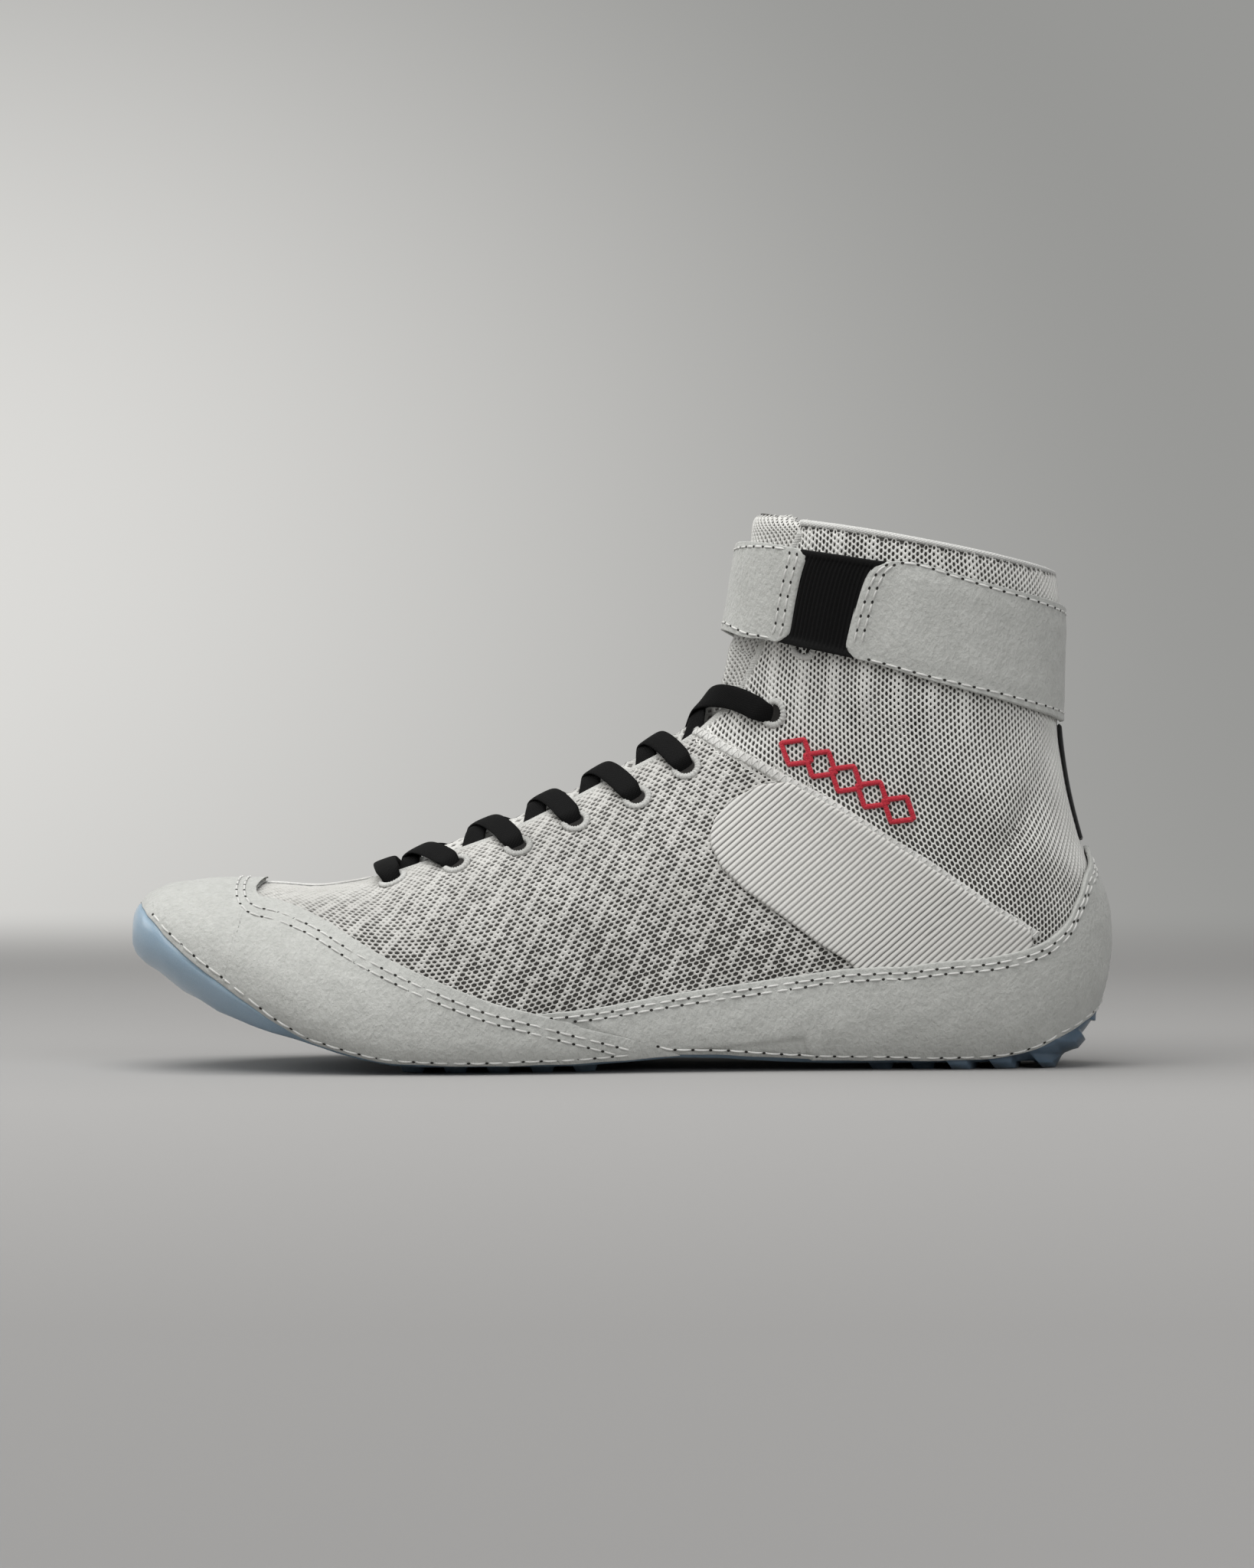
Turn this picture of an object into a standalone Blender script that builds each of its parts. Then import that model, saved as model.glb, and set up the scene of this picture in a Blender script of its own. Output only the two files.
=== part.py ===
"""Wrestling shoe for the right foot, standing empty on its sole.

Toe towards -X, heel towards +X, inner (medial) side towards -Y, metres, +Z up.
The origin is under the middle of the shoe, on the floor.

Every piece is cut from one surface, the outside of the shoe. That surface is a
fan of closed sections: each section lies in the plane through a point of the
instep line, a point of the sole or heel line, and the width direction. The
fan is upright through the foot and nearly level at the collar.
"""
from collections import namedtuple

import bmesh
import bpy
import numpy as np

# Overall sizes
SHOE_LENGTH = 0.288
SHAFT_RISE = 0.1564
BALL_WIDTH = 0.100
HEEL_WIDTH = 0.068
SHAFT_WIDTH = 0.078

# Walls and clearances
CLEARANCE = 0.0003
SEAT_GAP = 0.0006
HEM_GAP = 0.0013
GUARD = 0.0013
FABRIC_WALL = 0.0020
COLLAR_PADDING = 0.0022
PADDING_START = 1.2
SOLE_PLATE = 0.0035
SOLE_WALL = 0.0013
SOLE_CORNER = 0.0008
LUG_HEIGHT = 0.0020
INSOLE_THICKNESS = 0.0040
TONGUE_THICKNESS = 0.0034
TONGUE_LAP = 0.30
PANEL_WALL = 0.0009
TAPE_WALL = 0.0008
STRAP_WALL = 0.0014
LACE_WIDTH = 0.0055
LACE_THICKNESS = 0.0010
EYELET_RADIUS = 0.0030
EYELET_HOLE = 0.0016
EYELET_RISE = 0.0005
PIPING_HEIGHT = 0.0018
BACKSTAY_HALF_WIDTH = 0.0075

# Depths are measured inwards from the outside surface
UPPER_DEPTH = GUARD + SEAT_GAP
LACE_DEPTH = UPPER_DEPTH - EYELET_RISE - 2 * CLEARANCE
STRAP_FRONT_DEPTH = LACE_DEPTH - LACE_THICKNESS - SEAT_GAP
TONGUE_CREST_DEPTH = LACE_DEPTH + 2 * SEAT_GAP

Section = namedtuple(
    "Section",
    "dorsal_x dorsal_z ventral_x ventral_z ball heel shaft centre widest top_power bottom_power",
)

# One row for each section, from the tip of the toe to the collar.
# dorsal and ventral: the section's ends, x as a share of SHOE_LENGTH from the toe
# and z as a share of SHAFT_RISE above the sole's base plane.
# ball, heel, shaft: half-width as shares of the three widths.
# centre: sideways shift as a share of BALL_WIDTH. widest: where the half-width lies,
# as a share of the way down. The powers give how square each half of the section is.
SECTIONS = [
    Section(0.001, 0.262, 0.000, 0.222, 0.000, 0.000, 0.000, -0.110, 0.50, 2.0, 2.0),
    Section(0.005, 0.286, 0.005, 0.199, 0.105, 0.000, 0.000, -0.108, 0.52, 2.0, 2.0),
    Section(0.016, 0.311, 0.016, 0.180, 0.185, 0.000, 0.000, -0.104, 0.54, 2.1, 2.1),
    Section(0.030, 0.324, 0.030, 0.164, 0.245, 0.000, 0.000, -0.098, 0.56, 2.1, 2.2),
    Section(0.048, 0.334, 0.050, 0.135, 0.298, 0.000, 0.000, -0.090, 0.58, 2.1, 2.3),
    Section(0.084, 0.341, 0.086, 0.086, 0.366, 0.000, 0.000, -0.072, 0.60, 2.0, 2.4),
    Section(0.134, 0.342, 0.138, 0.036, 0.428, 0.000, 0.000, -0.048, 0.63, 1.9, 2.5),
    Section(0.197, 0.341, 0.202, -0.012, 0.474, 0.000, 0.000, -0.022, 0.68, 1.9, 2.6),
    Section(0.252, 0.363, 0.261, -0.043, 0.496, 0.000, 0.000, -0.006, 0.71, 1.9, 2.7),
    Section(0.314, 0.413, 0.339, -0.049, 0.500, 0.000, 0.000, 0.006, 0.74, 1.9, 2.9),
    Section(0.396, 0.475, 0.427, -0.049, 0.468, 0.000, 0.000, 0.020, 0.76, 1.85, 3.0),
    Section(0.470, 0.542, 0.523, -0.046, 0.416, 0.000, 0.000, 0.034, 0.77, 1.8, 3.0),
    Section(0.534, 0.607, 0.636, -0.046, 0.374, 0.000, 0.000, 0.038, 0.76, 1.8, 2.9),
    Section(0.568, 0.652, 0.748, -0.046, 0.000, 0.515, 0.000, 0.030, 0.72, 1.8, 2.7),
    Section(0.585, 0.686, 0.855, -0.043, 0.000, 0.500, 0.000, 0.022, 0.68, 1.85, 2.5),
    Section(0.591, 0.719, 0.922, -0.020, 0.000, 0.492, 0.000, 0.016, 0.64, 1.9, 2.4),
    Section(0.594, 0.741, 0.959, 0.037, 0.000, 0.488, 0.000, 0.012, 0.62, 1.9, 2.3),
    Section(0.596, 0.761, 0.984, 0.111, 0.000, 0.488, 0.000, 0.010, 0.60, 1.95, 2.2),
    Section(0.598, 0.777, 0.994, 0.204, 0.000, 0.492, 0.000, 0.008, 0.58, 2.0, 2.1),
    Section(0.602, 0.794, 0.991, 0.294, 0.000, 0.500, 0.000, 0.006, 0.56, 2.0, 2.0),
    Section(0.605, 0.820, 0.971, 0.396, 0.000, 0.000, 0.446, 0.005, 0.54, 2.0, 1.95),
    Section(0.609, 0.856, 0.954, 0.519, 0.000, 0.000, 0.458, 0.004, 0.52, 2.0, 1.95),
    Section(0.613, 0.906, 0.945, 0.650, 0.000, 0.000, 0.474, 0.003, 0.51, 2.05, 2.0),
    Section(0.617, 0.950, 0.945, 0.765, 0.000, 0.000, 0.488, 0.002, 0.50, 2.1, 2.05),
    Section(0.620, 0.978, 0.947, 0.847, 0.000, 0.000, 0.496, 0.000, 0.50, 2.1, 2.1),
    Section(0.621, 1.000, 0.945, 0.889, 0.000, 0.000, 0.500, 0.000, 0.50, 2.1, 2.1),
    Section(0.625, 1.033, 0.942, 0.921, 0.000, 0.000, 0.500, 0.000, 0.50, 2.1, 2.1),
]
LAST_ROW = len(SECTIONS) - 1

# Side-view curves, each row (x, z) in the same shares
FLOOR = [
    (0.000, 0.222), (0.005, 0.196), (0.018, 0.177), (0.029, 0.167), (0.056, 0.132),
    (0.084, 0.106), (0.126, 0.076), (0.167, 0.052), (0.205, 0.030), (0.236, 0.014),
    (0.267, 0.003), (0.298, 0.000), (0.455, 0.000), (0.502, 0.007), (0.548, 0.014),
    (0.595, 0.012), (0.650, 0.004), (0.705, 0.000), (1.000, 0.000),
]
HEM = [
    (0.014, 0.289), (0.021, 0.275), (0.041, 0.239), (0.070, 0.193), (0.098, 0.155),
    (0.126, 0.118), (0.153, 0.082), (0.189, 0.046), (0.236, 0.020), (0.298, 0.006),
    (0.455, 0.006), (0.502, 0.011), (0.548, 0.018), (0.595, 0.017), (0.650, 0.010),
    (0.705, 0.006), (0.840, 0.006), (0.873, 0.009), (0.902, 0.020), (0.932, 0.043),
    (0.963, 0.073), (0.986, 0.101),
]
TOE_GUARD_TOP = [
    (0.128, 0.301), (0.137, 0.286), (0.158, 0.283), (0.174, 0.277), (0.191, 0.261),
    (0.215, 0.236), (0.245, 0.201), (0.298, 0.157), (0.362, 0.110), (0.405, 0.091),
    (0.449, 0.072), (0.499, 0.050), (0.539, 0.030),
]
HEEL_GUARD_TOP = [
    (0.410, 0.098), (0.445, 0.103), (0.483, 0.112), (0.532, 0.128), (0.582, 0.142),
    (0.632, 0.155), (0.682, 0.168), (0.731, 0.178), (0.798, 0.186), (0.838, 0.193),
    (0.879, 0.203), (0.907, 0.216), (0.927, 0.235), (0.944, 0.265), (0.955, 0.306),
    (0.965, 0.353),
]
HEEL_GUARD_TIP = 0.401
TOE_GUARD_END = (0.552, 0.024)
HEM_BACK = 0.112
HEM_CREST_X = 0.0085
THROAT = [
    (0.259, 0.362), (0.305, 0.389), (0.358, 0.424), (0.415, 0.472), (0.474, 0.528),
    (0.520, 0.570), (0.567, 0.619), (0.590, 0.655), (0.614, 0.708), (0.630, 0.780),
    (0.642, 0.852), (0.655, 0.930), (0.668, 0.981),
]
STRAP_TOP = [
    (0.643, 0.960), (0.674, 0.947), (0.712, 0.934), (0.751, 0.922), (0.788, 0.918),
    (0.827, 0.898), (0.870, 0.878), (0.911, 0.862), (0.935, 0.852),
]
STRAP_BOTTOM = [
    (0.620, 0.790), (0.643, 0.783), (0.682, 0.765), (0.721, 0.747), (0.758, 0.728),
    (0.799, 0.705), (0.841, 0.685), (0.884, 0.665), (0.928, 0.643),
]
STRAP_CREST = (0.965, 0.801)
STRAP_BACK = (0.846, 0.633)
EYELETS = [
    (0.262, 0.350), (0.327, 0.377), (0.390, 0.409), (0.447, 0.455), (0.509, 0.498),
    (0.559, 0.554), (0.644, 0.647), (0.673, 0.768),
]
RIB_PANEL_TOP = [
    (0.661, 0.520), (0.712, 0.468), (0.754, 0.419), (0.809, 0.355), (0.866, 0.285),
    (0.905, 0.245),
]
RIB_PANEL_FRONT = [
    (0.636, 0.518), (0.604, 0.489), (0.590, 0.466), (0.583, 0.430), (0.584, 0.403),
    (0.594, 0.365), (0.616, 0.324), (0.654, 0.274), (0.691, 0.223), (0.722, 0.188),
]

# Where pieces begin and end, in rows of SECTIONS or in shares of the length
COLLAR_FRONT_ROW = 25.15
COLLAR_BACK_ROW = 25.50
TONGUE_TOE_ROW = 7.9
TONGUE_TOP_ROW = 25.95
INSOLE_ROWS = (2.4, 14.6)
FOREFOOT_LUGS = (0.085, 0.470)
HEEL_LUGS = (0.735, 0.985)
LUG_PITCH = 0.0062
ELASTIC_TOP_X = (0.683, 0.751)
ELASTIC_BOTTOM_X = (0.661, 0.719)
STRAP_TIP_X = 0.842
LANDING_FRONT_X = 0.735
LACE_CROSSINGS = len(EYELETS) - 1


def share_to_x(share):
    """Length share to x: the toe is at share 0 and the heel at share 1."""
    return (np.asarray(share, dtype=float) - 0.5) * SHOE_LENGTH


def share_to_z(share):
    """Height share to z: share 0 is the sole's base plane, on top of its lugs."""
    return LUG_HEIGHT + np.asarray(share, dtype=float) * SHAFT_RISE


def section_table():
    """The sections in metres, with one ghost row before the toe and one after the collar."""
    rows = []
    for row in SECTIONS:
        half = row.ball * BALL_WIDTH + row.heel * HEEL_WIDTH + row.shaft * SHAFT_WIDTH
        rows.append([
            share_to_x(row.dorsal_x), share_to_z(row.dorsal_z),
            share_to_x(row.ventral_x), share_to_z(row.ventral_z),
            half, row.centre * BALL_WIDTH, row.widest, row.top_power, row.bottom_power,
        ])
    rows = np.array(rows, dtype=float)
    before = 2 * rows[0] - rows[1]
    before[0] = rows[1, 0]
    before[2] = rows[1, 2]
    after = 2 * rows[-1] - rows[-2]
    return np.vstack([before, rows, after])


TABLE = section_table()


def section_at(row):
    """Smooth values of the table's columns at any row, by a Catmull-Rom curve."""
    row = np.clip(np.asarray(row, dtype=float), 0.0, LAST_ROW)
    start = np.minimum(row.astype(int), LAST_ROW - 1)
    part = (row - start)[..., None]
    p0, p1, p2, p3 = (TABLE[start + step] for step in range(4))
    curve = 2 * p1 + (p2 - p0) * part
    curve = curve + (2 * p0 - 5 * p1 + 4 * p2 - p3) * part ** 2
    curve = curve + (3 * p1 - p0 - 3 * p2 + p3) * part ** 3
    return np.moveaxis(curve / 2, -1, 0)


def bare(row, turn):
    """Outside surface without the flat sole. turn 0 is the instep line, pi the sole line."""
    row, turn = np.broadcast_arrays(np.asarray(row, float), np.asarray(turn, float))
    top_x, top_z, low_x, low_z, half, centre, widest, top_power, bottom_power = section_at(row)
    turn = (turn + np.pi) % (2 * np.pi) - np.pi
    cosine = np.cos(turn)
    sine = np.abs(np.sin(turn))
    upper_half = cosine >= 0
    power = 2 / np.where(upper_half, top_power, bottom_power)
    reach = np.abs(cosine) ** power
    down = np.where(upper_half, widest * (1 - reach), widest + (1 - widest) * reach)
    y = centre + np.sign(turn) * half * sine ** power
    x = top_x + down * (low_x - top_x)
    z = top_z + down * (low_z - top_z)
    return np.stack([x, y, z], axis=-1)


def outward(row, turn):
    """Unit normal of the bare surface, from central differences."""
    step_row, step_turn = 0.03, 0.01
    row, turn = np.broadcast_arrays(np.asarray(row, float), np.asarray(turn, float))
    row = np.clip(row, 0.15, LAST_ROW - step_row)
    along = bare(row + step_row, turn) - bare(row - step_row, turn)
    around = bare(row, turn + step_turn) - bare(row, turn - step_turn)
    normal = np.cross(along, around)
    top_x, top_z, low_x, low_z, _, centre, widest, _, _ = section_at(row)
    middle = np.stack(
        [top_x + widest * (low_x - top_x), centre, top_z + widest * (low_z - top_z)], axis=-1
    )
    side = np.sum(normal * (bare(row, turn) - middle), axis=-1, keepdims=True)
    normal = normal * np.where(side < 0, -1.0, 1.0)
    return normal / np.linalg.norm(normal, axis=-1, keepdims=True)


def floor_height(x):
    """Base plane of the sole under x, with the toe spring and the arch."""
    table = np.array(FLOOR)
    return np.interp(x, share_to_x(table[:, 0]), share_to_z(table[:, 1]))


def skin(row, turn, depth=0.0, lift=0.0):
    """Surface at a depth under the outside, flattened where it would pass below the sole."""
    depth = np.asarray(depth, dtype=float)
    point = bare(row, turn) - outward(row, turn) * depth[..., None]
    point[..., 2] = np.maximum(point[..., 2], floor_height(point[..., 0]) + lift)
    return point


def place_on_side(points):
    """Rows and turns of the surface points seen at the side-view points (x, z) in shares."""
    points = np.asarray(points, dtype=float)
    target = np.stack([share_to_x(points[:, 0]), share_to_z(points[:, 1])], axis=-1)
    rows, turns = np.meshgrid(np.linspace(0, LAST_ROW, 261), np.linspace(0, np.pi, 121))
    seen = bare(rows, turns)[..., [0, 2]].reshape(-1, 2)
    found = []
    window = np.linspace(-1, 1, 21)
    for goal in target:
        best = np.argmin(np.sum((seen - goal) ** 2, axis=1))
        place = np.array([rows.ravel()[best], turns.ravel()[best]])
        reach = np.array([0.12, 0.04])
        for _ in range(3):
            near_row, near_turn = np.meshgrid(
                np.clip(place[0] + window * reach[0], 0, LAST_ROW),
                np.clip(place[1] + window * reach[1], 0, np.pi),
            )
            miss = np.sum((bare(near_row, near_turn)[..., [0, 2]] - goal) ** 2, axis=-1)
            pick = np.argmin(miss)
            place = np.array([near_row.ravel()[pick], near_turn.ravel()[pick]])
            reach = reach / 8
        found.append(place)
    return np.array(found)


def row_of_back(share):
    """Row whose ventral point lies at a height on the back of the heel or shaft."""
    rows = np.linspace(15, LAST_ROW, 1101)
    heights = section_at(rows)[3]
    return float(np.interp(share_to_z(share), heights, rows))


def row_of_crest(share):
    """Row whose dorsal point lies at a height on the front of the shaft."""
    rows = np.linspace(12, LAST_ROW, 1401)
    heights = section_at(rows)[1]
    return float(np.interp(share_to_z(share), heights, rows))


def row_of_crest_x(share):
    """Row whose dorsal point lies at a length share, forward of the shaft."""
    rows = np.linspace(0, 12, 1201)
    return float(np.interp(share_to_x(share), section_at(rows)[0], rows))


def row_of_sole_x(share):
    """Rows whose ventral points lie at length shares under the foot."""
    rows = np.linspace(0, 17, 1701)
    return np.interp(share_to_x(share), section_at(rows)[2], rows)


def as_line(places):
    """Function from row to turn along a line of places on the surface."""
    order = np.argsort(places[:, 0])
    rows, turns = places[order, 0], places[order, 1]
    return lambda row: np.interp(row, rows, turns)


def resample(places, count):
    """Places spread evenly by their distance on the surface along a line of places."""
    points = bare(places[:, 0], places[:, 1])
    steps = np.linalg.norm(np.diff(points, axis=0), axis=1)
    run = np.concatenate([[0.0], np.cumsum(steps)])
    at = np.linspace(0, run[-1], count)
    return np.stack([np.interp(at, run, places[:, 0]), np.interp(at, run, places[:, 1])], axis=-1)


def smooth(value):
    """Ease from 0 to 1 as value goes from 0 to 1."""
    value = np.clip(value, 0.0, 1.0)
    return value * value * (3 - 2 * value)


def between(first, second, shares):
    """Grid of places from one line of places to another, by shares of the way."""
    shares = np.asarray(shares, dtype=float)[None, :, None]
    return first[:, None, :] * (1 - shares) + second[:, None, :] * shares


def mirrored(grid):
    """The same grid of places on the other side of the shoe."""
    other = grid.copy()
    other[..., 1] = -other[..., 1]
    return other


def grid_faces(rows, columns, first):
    """Quads of a grid whose vertices start at index first."""
    index = first + np.arange(rows * columns).reshape(rows, columns)
    quads = np.stack([index[:-1, :-1], index[:-1, 1:], index[1:, 1:], index[1:, :-1]], axis=-1)
    return quads.reshape(-1, 4)


def add_object(name, verts, faces, colour, roughness):
    """Closed mesh object with its normals outwards and its own material."""
    mesh = bpy.data.meshes.new(name)
    mesh.from_pydata([tuple(v) for v in verts], [], faces)
    bm = bmesh.new()
    bm.from_mesh(mesh)
    bmesh.ops.recalc_face_normals(bm, faces=bm.faces)
    bmesh.ops.triangulate(bm, faces=bm.faces)
    bm.to_mesh(mesh)
    bm.free()
    material = bpy.data.materials.new(name)
    material.use_nodes = True
    shader = material.node_tree.nodes["Principled BSDF"]
    shader.inputs["Base Color"].default_value = (*colour, 1.0)
    shader.inputs["Roughness"].default_value = roughness
    mesh.materials.append(material)
    obj = bpy.data.objects.new(name, mesh)
    bpy.context.scene.collection.objects.link(obj)
    return obj


def boundary_edges(faces):
    """Edges that only one face has."""
    count = {}
    for face in faces:
        for a, b in zip(face, face[1:] + face[:1]):
            edge = (min(a, b), max(a, b))
            count[edge] = count.get(edge, 0) + 1
    return [edge for edge, number in count.items() if number == 1]


def shell(name, grids, outer, inner, colour, roughness, raised=None):
    """Closed wall between two skins over grids of places (row, turn).

    outer and inner take rows and turns and give points. raised, if given, holds
    for each grid a mask of its quads that stand out as lugs, and a function for
    the lugs' faces.
    """
    outside, inside, lugs, quads, flags = [], [], [], [], []
    first = 0
    for number, grid in enumerate(grids):
        rows, turns = grid[..., 0], grid[..., 1]
        outside.append(outer(rows, turns).reshape(-1, 3))
        inside.append(inner(rows, turns).reshape(-1, 3))
        faces = grid_faces(*rows.shape, first)
        quads.append(faces)
        if raised is not None:
            masks, lug_skin = raised
            lugs.append(lug_skin(rows, turns).reshape(-1, 3))
            flags.append(masks[number].reshape(-1))
        first += rows.size
    outside, inside, quads = np.vstack(outside), np.vstack(inside), np.vstack(quads)
    _, pick, joined = np.unique(
        np.round(outside, 6) + 0.0, axis=0, return_index=True, return_inverse=True
    )
    joined = joined.reshape(-1)
    outside, inside = outside[pick], inside[pick]
    flags = np.concatenate(flags) if flags else np.zeros(len(quads), dtype=bool)
    plain, lifted = [], []
    for quad, flag in zip(joined[quads], flags):
        face = []
        for vertex in quad.tolist():
            if vertex not in face:
                face.append(vertex)
        if len(face) > 2:
            (lifted if flag else plain).append(face)
    total = len(outside)
    faces = [list(face) for face in plain]
    faces += [[v + total for v in reversed(face)] for face in plain + lifted]
    for a, b in boundary_edges(plain + lifted):
        faces.append([b, a, a + total, b + total])
    verts = [outside, inside]
    if lifted:
        verts.append(np.vstack(lugs)[pick])
        faces += [[v + 2 * total for v in face] for face in lifted]
        for a, b in boundary_edges(lifted):
            faces.append([a, b, b + 2 * total, a + 2 * total])
    verts = np.vstack(verts)
    used = sorted({v for face in faces for v in face})
    renumber = {old: new for new, old in enumerate(used)}
    faces = [[renumber[v] for v in face] for face in faces]
    return add_object(name, verts[used], faces, colour, roughness)


def feather_line():
    """Where the upper's lower edge runs, just above the sole plate."""
    edge = SOLE_PLATE + SEAT_GAP
    lengths = np.concatenate([np.linspace(0.0, 0.06, 9), np.linspace(0.08, 0.94, 60)])
    heights = (floor_height(share_to_x(lengths)) + edge - LUG_HEIGHT) / SHAFT_RISE
    places = place_on_side(np.stack([lengths, heights], axis=-1))
    back = row_of_back(edge / SHAFT_RISE)
    places = places[places[:, 0] < back - 0.05]
    return np.vstack([places, [back, np.pi]])


def hem_line(gap):
    """Line between the guards and the sole, shifted up by a gap."""
    points = np.array(HEM) + [0.0, gap / SHAFT_RISE]
    places = place_on_side(points)
    start = [row_of_crest_x(HEM_CREST_X + 1.5 * gap / SHOE_LENGTH), 0.0]
    end = [row_of_back(HEM_BACK + gap / SHAFT_RISE), np.pi]
    return np.vstack([start, places, end])


def throat_line():
    """Edge of the throat from its point over the toes up to the collar."""
    places = place_on_side(THROAT)
    start = [row_of_crest_x(THROAT[0][0]) - 0.45, 0.0]
    return np.vstack([start, places])


FEATHER = as_line(feather_line())
THROAT_EDGE = as_line(throat_line())
THROAT_START = throat_line()[0, 0]


def upper_wall(row, turn):
    """Wall of the upper: fabric, with padding round the ankle and heel."""
    height = smooth((np.asarray(row) - 14) / 6)
    behind = smooth((np.abs(turn) - PADDING_START) / 0.6)
    return FABRIC_WALL + COLLAR_PADDING * height * behind


def collar_row(turn):
    """Row of the collar's edge at each turn, lower in front than behind."""
    share = np.clip(np.abs(turn) / np.pi, 0, 1)
    return COLLAR_FRONT_ROW + (COLLAR_BACK_ROW - COLLAR_FRONT_ROW) * share


def upper_grid():
    """Places of one side of the upper, from the throat's edge to its lower edge."""
    toe = [0.0, 0.4, 0.9, 1.5, 2.2, 3.0, 4.0, 5.0, 6.0, 7.0]
    rest = np.concatenate([
        [THROAT_START], np.arange(8.4, 15.5, 0.75), np.arange(15.9, 20, 0.6),
        np.arange(20.2, COLLAR_FRONT_ROW - 0.4, 0.95), [COLLAR_FRONT_ROW],
    ])
    rows = np.concatenate([toe, rest])
    throat = np.where(rows > THROAT_START, THROAT_EDGE(rows), 0.0)
    low = FEATHER(rows)
    shares = np.linspace(0, 1, 10)
    grid = between(np.stack([rows, throat], -1), np.stack([rows, low], -1), shares)
    grid[-1, :, 0] = collar_row(grid[-1, :, 1])
    return grid


def make_upper():
    grid = upper_grid()
    shell(
        "upper", [grid, mirrored(grid)],
        lambda rows, turns: skin(rows, turns, UPPER_DEPTH + 0 * rows),
        lambda rows, turns: skin(rows, turns, UPPER_DEPTH + upper_wall(rows, turns)),
        (0.62, 0.62, 0.60), 0.9,
    )


def make_collar_piping():
    """Binding on the collar's edge, a little thicker than the wall under it."""
    row_gap = CLEARANCE / 0.005
    row_height = PIPING_HEIGHT / 0.005
    turns = np.linspace(THROAT_EDGE(COLLAR_FRONT_ROW), np.pi, 16)
    low = np.stack([collar_row(turns) + row_gap, turns], -1)
    high = np.stack([collar_row(turns) + row_gap + row_height, turns], -1)
    grid = between(low, high, [0, 1])
    proud = CLEARANCE
    shell(
        "collar_piping", [grid, mirrored(grid)],
        lambda rows, turns: skin(rows, turns, UPPER_DEPTH - proud + 0 * rows),
        lambda rows, turns: skin(rows, turns, UPPER_DEPTH + upper_wall(rows, turns)),
        (0.66, 0.66, 0.65), 0.8,
    )


def hem_rise():
    """Function from row to the hem's height above the sole's base plane."""
    places = place_on_side(HEM)
    order = np.argsort(places[:, 0])
    table = np.array(HEM)[order]
    rise = share_to_z(table[:, 1]) - floor_height(share_to_x(table[:, 0]))
    return lambda row: np.interp(row, places[order, 0], rise)


HEM_RISE = hem_rise()


def sole_recess(rows):
    """How far the sole's side lies behind the guards, which cover it where the hem is low."""
    hidden = smooth((SOLE_PLATE + SEAT_GAP - HEM_RISE(rows)) / (SEAT_GAP + HEM_GAP))
    return (GUARD + SEAT_GAP) * hidden


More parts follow.
